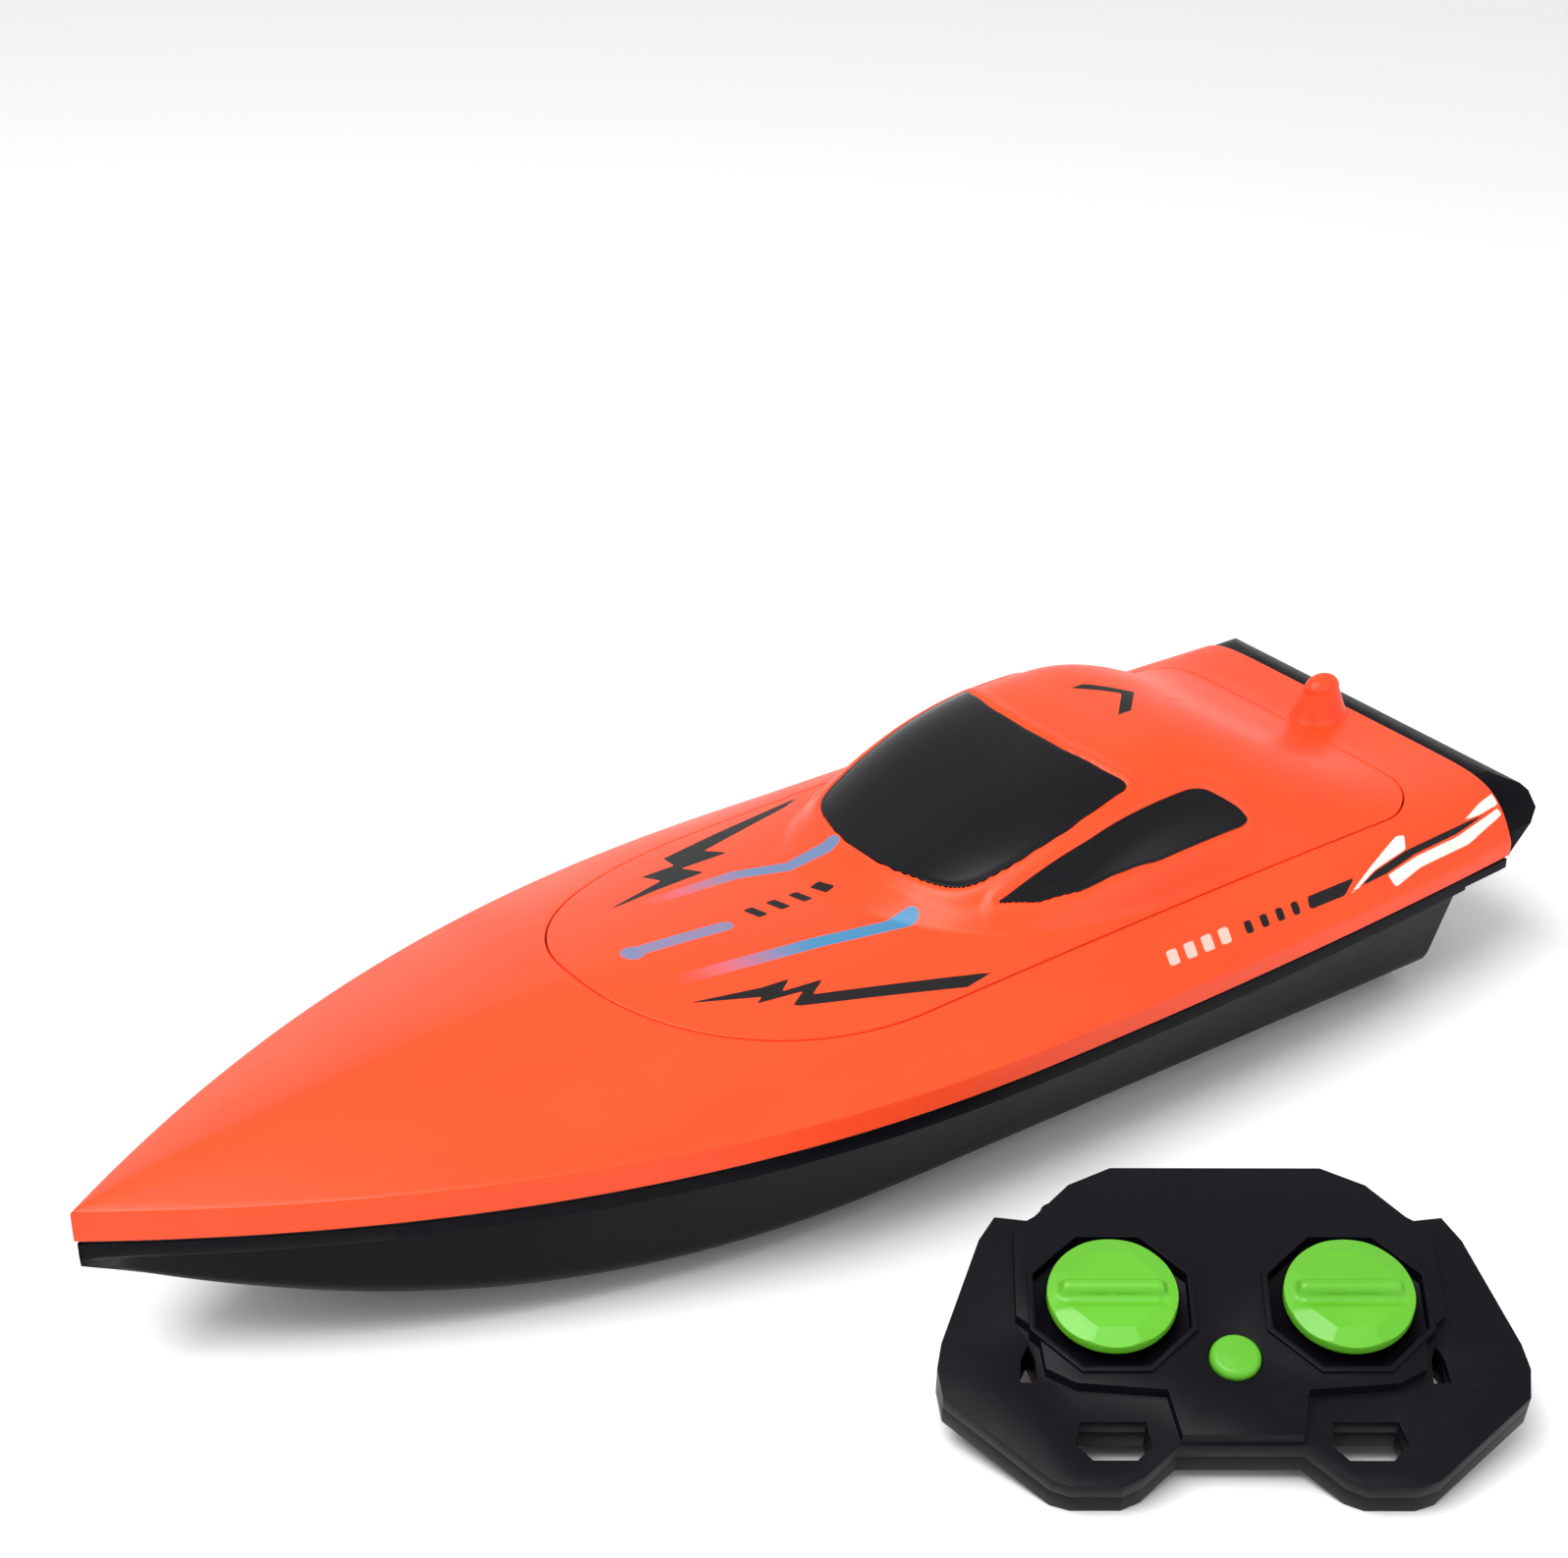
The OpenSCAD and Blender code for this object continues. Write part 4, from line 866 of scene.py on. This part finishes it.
def make_windows():
    """Each window is a disc of rings on the cabin's height field, a little proud, with a turned edge."""
    edge = 0.3
    for node, outline, centre in (("windshield", WINDSHIELD, (-46, 0)),
                                  ("side_window_left", SIDE_LEFT, (-80, 39.6)),
                                  ("side_window_right", SIDE_RIGHT, (-80, -39.6))):
        line = even_outline(outline, 260)
        line = line - outward(line) * (edge + WINDOW_GAP)
        xy = centre + (line - centre) * np.linspace(1, 0, WINDOW_RINGS)[:, None, None]
        surface = Surface()
        laid_plate(surface, xy, deck_height, WINDOW_PROUD, WINDOW_T, edge, rings=True)
        new_piece(node + "_skin", surface, "hatch", "window_gloss", (node,))


FIN_L = 17
FIN_SHARE = 0.66
FIN_TIP = 0.62
FIN_RAKE = 0.5


def make_fin():
    """The fin is a stack of ellipses: a flared foot sunk a little, an even taper to FIN_TIP of its size at
    FIN_SHARE of its height, and a domed tip that lies FIN_RAKE aft."""
    low, high = low_mm("tail_fin"), high_mm("tail_fin")
    height = (high[2] - low[2]) / 0.98
    width = high[1] - low[1]
    middle = high[0] - FIN_L / 2
    over = 1 - FIN_SHARE
    t = np.concatenate([np.linspace(0, FIN_SHARE, 26),
                        FIN_SHARE + over * np.sin(np.linspace(0, np.pi / 2, 18)[1:])])[:, None]
    dome = FIN_TIP * np.sqrt(np.clip(1 - ((t - FIN_SHARE) / over) ** 2, 0, 1))
    size = np.where(t < FIN_SHARE, 1 - (1 - FIN_TIP) * t / FIN_SHARE, dome) * (1 + 0.12 * np.exp(-t / 0.07))
    turn = full_turn(64)
    x = middle + FIN_L / 2 * size * np.cos(turn) - FIN_RAKE * smooth(t)
    y = width / 2 * size * np.sin(turn)
    z = low[2] + 0.2 + height * t - 0.55 * np.exp(-t / 0.05)
    surface = Surface()
    rings = surface.add(np.stack([x, y, np.broadcast_to(z, x.shape)], axis=-1), close_cols=True)
    surface.cap(rings[0])
    new_piece("fin_skin", surface, "boat", "fin_orange", ("tail_fin",))


SIDE_IN = 3.4
LIP_H = 4
LIP_IN = 0.6
RISE_X = 85
KEEL_PAD = 9.5


def hull_section(x, inset, lip):
    """Half section from the keel's centre to the top: a flat pad, a straight floor, a round chine and a
    leaning side, then the lip that stands out under the deck's rim."""
    b = beam(x)
    top = np.minimum(SIDE_IN, 0.45 * b) + 1.15 * inset
    side_y = np.maximum(b - top, 0.15)
    chine_y = mix(50, 0.2, np.clip(x / 172, 0, 1) ** 2.3)
    cy = np.maximum(np.minimum(chine_y - 1.1 * inset, side_y - 0.05), 0.1)
    kz = 30 * np.clip((x - RISE_X) / (180 - RISE_X), 0, 1) ** 1.8 + inset
    cz = np.maximum(5 + 24 * np.clip(x / 180, 0, 1) ** 2.6 + inset, kz + 0.4)
    pad = np.minimum(KEEL_PAD, cy * 0.4) * (1 - 0.6 * np.clip((x - RISE_X) / 60, 0, 1))
    r = np.minimum(5, cy * 0.3)
    chine, keel = np.stack([cy, cz], -1), np.stack([pad, kz], -1)
    step = np.stack([side_y, np.full(x.shape, SEAT_Z - LIP_H - 0.4)], -1)
    foot = mix(chine, keel, (r / (cy - pad + r))[:, None])
    head = mix(chine, step, 0.2)
    parts = [np.stack([pad * f, kz], -1) for f in (0, 0.5)]
    parts += [mix(keel, foot, f) for f in np.linspace(0, 1, 8)]
    parts += [mix(mix(foot, chine, f), mix(chine, head, f), f) for f in np.linspace(0, 1, 9)[1:]]
    parts += [mix(head, step, f) for f in np.linspace(0, 1, 9)[1:]]
    if lip:
        out = b - np.minimum(LIP_IN, 0.2 * b)
        levels = ((0.35, -LIP_H - 0.1), (0.85, -LIP_H + 0.25), (1, -LIP_H + 0.7), (1, -0.4), (0.96, 0))
        parts += [np.stack([mix(side_y, out, f), np.full(x.shape, SEAT_Z + z)], -1) for f, z in levels]
    else:
        parts += [np.stack([side_y, np.full(x.shape, SEAT_Z + z)], -1) for z in (-3.4, -2.4, -1.4, -0.4, 0)]
    return np.stack(parts, axis=1)


def full_section(x, half):
    """Both sides of a row of half sections, from the port top round the keel to the starboard top."""
    both = np.concatenate([half[:, ::-1], half[:, 1:] * [-1, 1]], axis=1)
    return np.concatenate([np.broadcast_to(x[:, None, None], both.shape[:2] + (1,)), both], axis=-1)


def make_hull():
    """The hull is two skins lofted through stations, joined round the top, with its transom closed by
    rows that shrink to a point on the top edge. The shelf under the deck's stern is a flat slab."""
    wall = sizes().hull_wall / MM
    u = np.linspace(0, 1, 110)
    skins = []
    surface = Surface()
    for start, stop, inset in ((TRANSOM_X, BOW - 0.8, 0.0), (TRANSOM_X + wall, BOW - 9, wall)):
        x = start + (stop - start) * np.sin(np.pi / 2 * u ** 0.9)
        rows = full_section(x, hull_section(x, inset, inset == 0))
        centre = np.array([start, 0, SEAT_Z])
        plate = centre + (rows[0] - centre) * np.linspace(0.02, 0.98, 12)[:, None, None]
        skins.append(surface.add(np.concatenate([plate, rows])))
    surface.join(edge_loop(skins[0]), edge_loop(skins[1]))
    edge = float(beam(TRANSOM_X)) - LIP_IN - 0.3
    tail = float(beam(STERN)) - LIP_IN
    x = np.linspace(STERN + LIP_IN, TRANSOM_X + wall - 0.2, 8)
    y = mix(tail, edge, (x - x[0]) / (x[-1] - x[0]))
    laid_plate(surface, strip(x, y, 40), lambda px, py: np.full(px.shape, SEAT_Z), 0, 2.6, 0.3)
    new_piece("hull_skin", surface, "boat", "hull_black", ("hull",))


BLADE_R = 11.5


def make_propellers():
    """Each propeller is a domed hub with three twisted blades: a blade's outline is a paddle in radius and
    arc, its pitch falls outward, and its section is a thin lens."""
    for node, side in (("propeller_left", 1), ("propeller_right", -1)):
        low, high = low_mm(node), high_mm(node)
        y, z = (low[1:] + high[1:]) / 2
        hub_l = high[0] - low[0]
        surface = Surface()
        lathe(surface, [(1.0, 0), (2.3, 0), (2.75, 0.4), (2.75, 4.4), (2.6, 5.6), (2.1, 6.9), (1.5, 7.7),
                        (1.0, hub_l)], 48)
        u, v = np.meshgrid(np.linspace(0, 1, 22), np.linspace(-1, 1, 15), indexing="ij")
        r = mix(1.6, BLADE_R, u)
        chord = 3.6 * np.sqrt(np.clip(1 - np.abs(2 * u - 1.05) ** 3.2, 0.02, 1))
        pitch = np.radians(90) - np.arctan2(9.5, 2 * np.pi * r / 3.4)
        across = v * chord
        thick = 0.45 * (1 - v ** 2) * mix(1, 0.55, u) + 0.04
        for spin in full_turn(3):
            faces = []
            for s in (1, -1):
                tangent = across * np.sin(pitch) * side + s * thick * np.cos(pitch)
                lift = hub_l / 2 + across * np.cos(pitch) - s * thick * np.sin(pitch) * side
                angle = spin + tangent / r
                faces.append(surface.add(np.stack([r * np.cos(angle), r * np.sin(angle), lift], -1)))
            surface.join(edge_loop(faces[0]), edge_loop(faces[1]))
        body = "left_drive" if side > 0 else "right_drive"
        hub = [high[0], y, z]
        new_piece(node + "_skin", surface, body, "propeller_black", (node,),
                  turn=lambda p: hub + p[:, [2, 0, 1]] * [-1, 1, 1])


# ---------- the handset's pieces ----------

# The handset's own frame has +X to the right, +Y to its top edge and +Z out of its face. It leans back on
# its grips, whose edges lie PAD_HEEL from the middle and are PAD_DEPTH deep.
PAD_TURN = math.radians(144)
PAD_LEAN = math.radians(18)
PAD_HEEL = 38
PAD_DEPTH = 5
PAD_PLACE = (-8.5, 144.8, PAD_HEEL * math.sin(PAD_LEAN) + PAD_DEPTH * math.cos(PAD_LEAN))
STICK = (24.3, 4)
CAP_Z = 7.8
CAP_R = 13.5
CAP_SIDES = 192
BUTTON_Y = -9.4
BUTTON_R = 5.3
BUTTON_TOP = 8.8
FLANGE_R = BUTTON_R + 1.2
FLANGE_LOW = 1.75


def pad_to_boat(offset):
    """Turns points of the handset's own frame, moved by an offset, into the boat's frame."""
    turn = np.array(Matrix.Rotation(PAD_TURN, 3, "Z") @ Matrix.Rotation(PAD_LEAN, 3, "X"))
    return lambda p: (p + offset) @ turn.T + PAD_PLACE


def cap_top(x, y):
    """Height of a stick cap: a rounded rim, an eight-sided bevel round a flat, and a half-round bar across
    the middle beside a shallow valley."""
    r = np.hypot(x, y)
    angle = np.arctan2(y, x)
    eight = r * np.cos((angle + np.pi / 8) % (np.pi / 4) - np.pi / 8)
    top = 4.3 - 0.34 * np.clip(eight - 9.3, 0, None)
    rim = 2.4 + 1.9 * np.sqrt(np.clip(1 - (np.clip(r - (CAP_R - 2.2), 0, None) / 2.2) ** 2, 0, 1))
    z = np.minimum(top, rim)
    bar = 1.5 * np.sqrt(np.clip(1 - ((y - 0.4) / 1.7) ** 2, 0, 1)) * (1 - smooth((np.abs(x) - 10) / 1.4))
    valley = 0.8 * np.exp(-((y + 2.6) / 1.3) ** 2) * (1 - smooth((np.abs(x) - 9.5) / 3))
    return z + bar - valley


def make_sticks():
    """A stick cap is a disc of rings whose height is cap_top, over an upright rim and a flat underside
    with a socket for its stem."""
    for side, name in ((-1, "left"), (1, "right")):
        node = "stick_cap_" + name
        share = CAP_R * np.sin(np.linspace(0, np.pi / 2, 90))[:, None]
        turn = full_turn(CAP_SIDES)
        x, y = share * np.cos(turn), share * np.sin(turn)
        surface = Surface()
        top = surface.add(np.stack([x, y, cap_top(x, y)], -1), close_cols=True)
        rim = [(CAP_R, 1.6), (CAP_R, 0.9), (CAP_R - 0.25, 0.3), (CAP_R - 1, 0), (6, 0), (2.5, 0), (2.5, 2)]
        below = surface.add(revolved(rim, CAP_SIDES), close_cols=True)
        surface.join(top[-1], below[0])
        surface.cap(below[-1])
        new_piece(node + "_skin", surface, name + "_stick", "cap_green", (node,),
                  turn=pad_to_boat((side * STICK[0], STICK[1], CAP_Z)), crease=50)


def make_button():
    """The power button is a turned dome with a soft shoulder, over the flange that keeps it in."""
    r, top, low = BUTTON_R, BUTTON_TOP, FLANGE_LOW
    surface = Surface()
    profile = [(0.01, top)] + [(3.4 * f, top - 0.3 * f * f) for f in np.linspace(0.15, 1, 8)]
    profile += arc(r - 1.5, top - 1.8, 1.5, 80, 0, 7)
    profile += [(r, 3.3), (r, 3.1), (FLANGE_R, 3.1), (FLANGE_R, 2.6), (FLANGE_R, low + 0.2),
                (FLANGE_R - 0.3, low), (0.01, low)]
    lathe(surface, profile, 96)
    new_piece("power_button_skin", surface, "power_button", "cap_green", ("power_button",),
              turn=pad_to_boat((0, BUTTON_Y, 0)))


# CAD nodes that keep their shape and take a finish
FITTINGS = {
    "seal_rubber": ("hull_gasket", "hatch_gasket"),
    "fitting_black": ("battery_tray", "motor_bracket", "power_switch", "gimbal_left", "gimbal_right",
                      "stick_lever_left", "stick_lever_right"),
    "strap_fabric": ("battery_strap",),
    "aerial_black": ("receiver_aerial",),
    "cell_wrap": ("battery_pack",),
    "cell_jacket": ("handset_cells",),
    "circuit_green": ("circuit_board", "handset_board"),
    "switch_white": ("switch_slider",),
    "screw_steel": ("deck_screws", "handset_screws"),
    "motor_steel": ("motor_left", "motor_right"),
    "shaft_steel": ("shaft_left", "shaft_right"),
    "spring_steel": ("cell_contacts",),
    "tube_brass": ("stern_tube_left", "stern_tube_right", "coupler_left", "coupler_right", "water_contacts"),
    "handset_black": ("battery_door",),
}


def finish_fittings():
    """Gives each of these nodes its material."""
    for finish, nodes in FITTINGS.items():
        for node in nodes:
            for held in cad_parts[node].material_slots:
                held.material = material(finish)


# ---------- floor, lights and camera ----------

FLOOR_HALF = 6.0


def aimed(name, data, location, direction):
    """Puts a light or a camera in the scene, looking along a direction."""
    obj = bpy.data.objects.new(name, data)
    obj.location = location
    obj.rotation_euler = direction.to_track_quat("-Z", "Y").to_euler()
    bpy.context.scene.collection.objects.link(obj)
    return obj


def add_light(name, energy, offset, size):
    """A soft rectangular light at an offset from the boat's middle, aimed at it."""
    data = bpy.data.lights.new(name, "AREA")
    data.energy = energy
    data.shape = "RECTANGLE"
    data.size, data.size_y = size
    aimed(name, data, Vector((0, 0, 0.04)) + Vector(offset), -Vector(offset))


def make_stage():
    """A wide pale floor, a white sky, two large soft lights and the camera."""
    scene = bpy.context.scene
    s = scene.boat_stage
    mesh = bpy.data.meshes.new("floor")
    mesh.from_pydata([(FLOOR_HALF * x, FLOOR_HALF * y, 0) for x, y in ((-1, -1), (1, -1), (1, 1), (-1, 1))],
                     [], [(0, 1, 2, 3)])
    mat, tree, shader = new_material("floor_pale", s.floor, 0.9, specular=0.1)
    (noise(tree, 12, 3) * 0.05 + 0.85).into(shader, "Roughness")
    mesh.materials.append(mat)
    floor = bpy.data.objects.new("floor", mesh)
    scene.collection.objects.link(floor)
    world = bpy.data.worlds.new("studio")
    scene.world = world
    world.use_nodes = True
    scene.view_settings.view_transform = "Standard"
    back = world.node_tree.nodes["Background"]
    back.inputs["Color"].default_value = (1, 1, 1, 1)
    back.inputs["Strength"].default_value = 0.72
    add_light("key", 16, (0.5, 0.15, 1.1), (0.9, 0.7))
    add_light("fill", 3, (-0.4, 1.2, 0.5), (1.0, 0.5))
    level = math.cos(s.elevation)
    direction = Vector((level * math.cos(s.azimuth), level * math.sin(s.azimuth), math.sin(s.elevation)))
    lens = bpy.data.cameras.new("camera")
    lens.lens = s.lens
    lens.sensor_width = 36
    lens.shift_y = s.shift
    lens.clip_start = 0.01
    scene.camera = aimed("camera", lens, Vector((0, 0, 0.036)) + direction * s.distance, -direction)


# ---------- operators, panel and registration ----------

class BOAT_OT_deck(bpy.types.Operator):
    """Build the deck with its quarter marks"""
    bl_idname = "boat.deck"
    bl_label = "Deck"

    def execute(self, context):
        make_deck()
        return {"FINISHED"}


class BOAT_OT_hatch(bpy.types.Operator):
    """Build the hatch cover with its window beads and printed marks"""
    bl_idname = "boat.hatch"
    bl_label = "Hatch cover"

    def execute(self, context):
        make_hatch()
        return {"FINISHED"}


class BOAT_OT_windows(bpy.types.Operator):
    """Build the windshield and the two side windows"""
    bl_idname = "boat.windows"
    bl_label = "Windows"

    def execute(self, context):
        make_windows()
        return {"FINISHED"}


class BOAT_OT_fin(bpy.types.Operator):
    """Build the tail fin"""
    bl_idname = "boat.fin"
    bl_label = "Tail fin"

    def execute(self, context):
        make_fin()
        return {"FINISHED"}


class BOAT_OT_hull(bpy.types.Operator):
    """Build the hull and round the stern bumper"""
    bl_idname = "boat.hull"
    bl_label = "Hull and bumper"

    def execute(self, context):
        make_hull()
        rounded_copy("stern_bumper", "boat", "hull_black", 0.7, 3)
        return {"FINISHED"}


class BOAT_OT_propellers(bpy.types.Operator):
    """Build the two propellers with twisted blades"""
    bl_idname = "boat.propellers"
    bl_label = "Propellers"

    def execute(self, context):
        make_propellers()
        return {"FINISHED"}


class BOAT_OT_handset(bpy.types.Operator):
    """Round the handset's two shells"""
    bl_idname = "boat.handset"
    bl_label = "Handset shells"

    def execute(self, context):
        rounded_copy("handset_front", "handset", "handset_black", 0.45, 2)
        rounded_copy("handset_back", "handset", "handset_black", 0.3, 2)
        return {"FINISHED"}


class BOAT_OT_sticks(bpy.types.Operator):
    """Build the two stick caps"""
    bl_idname = "boat.sticks"
    bl_label = "Stick caps"

    def execute(self, context):
        make_sticks()
        return {"FINISHED"}


class BOAT_OT_button(bpy.types.Operator):
    """Build the power button"""
    bl_idname = "boat.button"
    bl_label = "Power button"

    def execute(self, context):
        make_button()
        return {"FINISHED"}


class BOAT_OT_fittings(bpy.types.Operator):
    """Give every fitting its finish"""
    bl_idname = "boat.fittings"
    bl_label = "Fittings"

    def execute(self, context):
        finish_fittings()
        return {"FINISHED"}


class BOAT_OT_stage(bpy.types.Operator):
    """Set up the floor, lights and camera"""
    bl_idname = "boat.stage"
    bl_label = "Floor, lights and camera"

    def execute(self, context):
        make_stage()
        return {"FINISHED"}


STEPS_IN_ORDER = (BOAT_OT_stage, BOAT_OT_deck, BOAT_OT_hatch, BOAT_OT_windows, BOAT_OT_fin, BOAT_OT_hull,
                  BOAT_OT_propellers, BOAT_OT_handset, BOAT_OT_sticks, BOAT_OT_button, BOAT_OT_fittings)


class BOAT_PT_panel(bpy.types.Panel):
    """Lists the steps that finish the boat"""
    bl_idname = "BOAT_PT_panel"
    bl_label = "RC Boat"
    bl_space_type = "VIEW_3D"
    bl_region_type = "UI"
    bl_category = "RC Boat"

    def draw(self, context):
        for step in STEPS_IN_ORDER:
            self.layout.operator(step.bl_idname)


CLASSES = (BoatSizes, BoatColours, StageSettings) + STEPS_IN_ORDER + (BOAT_PT_panel,)


def register():
    for cls in CLASSES:
        bpy.utils.register_class(cls)
    bpy.types.Scene.boat_sizes = PointerProperty(type=BoatSizes)
    bpy.types.Scene.boat_colours = PointerProperty(type=BoatColours)
    bpy.types.Scene.boat_stage = PointerProperty(type=StageSettings)


def unregister():
    del bpy.types.Scene.boat_stage
    del bpy.types.Scene.boat_colours
    del bpy.types.Scene.boat_sizes
    for cls in reversed(CLASSES):
        bpy.utils.unregister_class(cls)


def main():
    register()
    bpy.ops.boat.stage()
    bpy.ops.boat.deck()
    bpy.ops.boat.hatch()
    bpy.ops.boat.windows()
    bpy.ops.boat.fin()
    bpy.ops.boat.hull()
    bpy.ops.boat.propellers()
    bpy.ops.boat.handset()
    bpy.ops.boat.sticks()
    bpy.ops.boat.button()
    bpy.ops.boat.fittings()


if __name__ == "__main__":
    main()
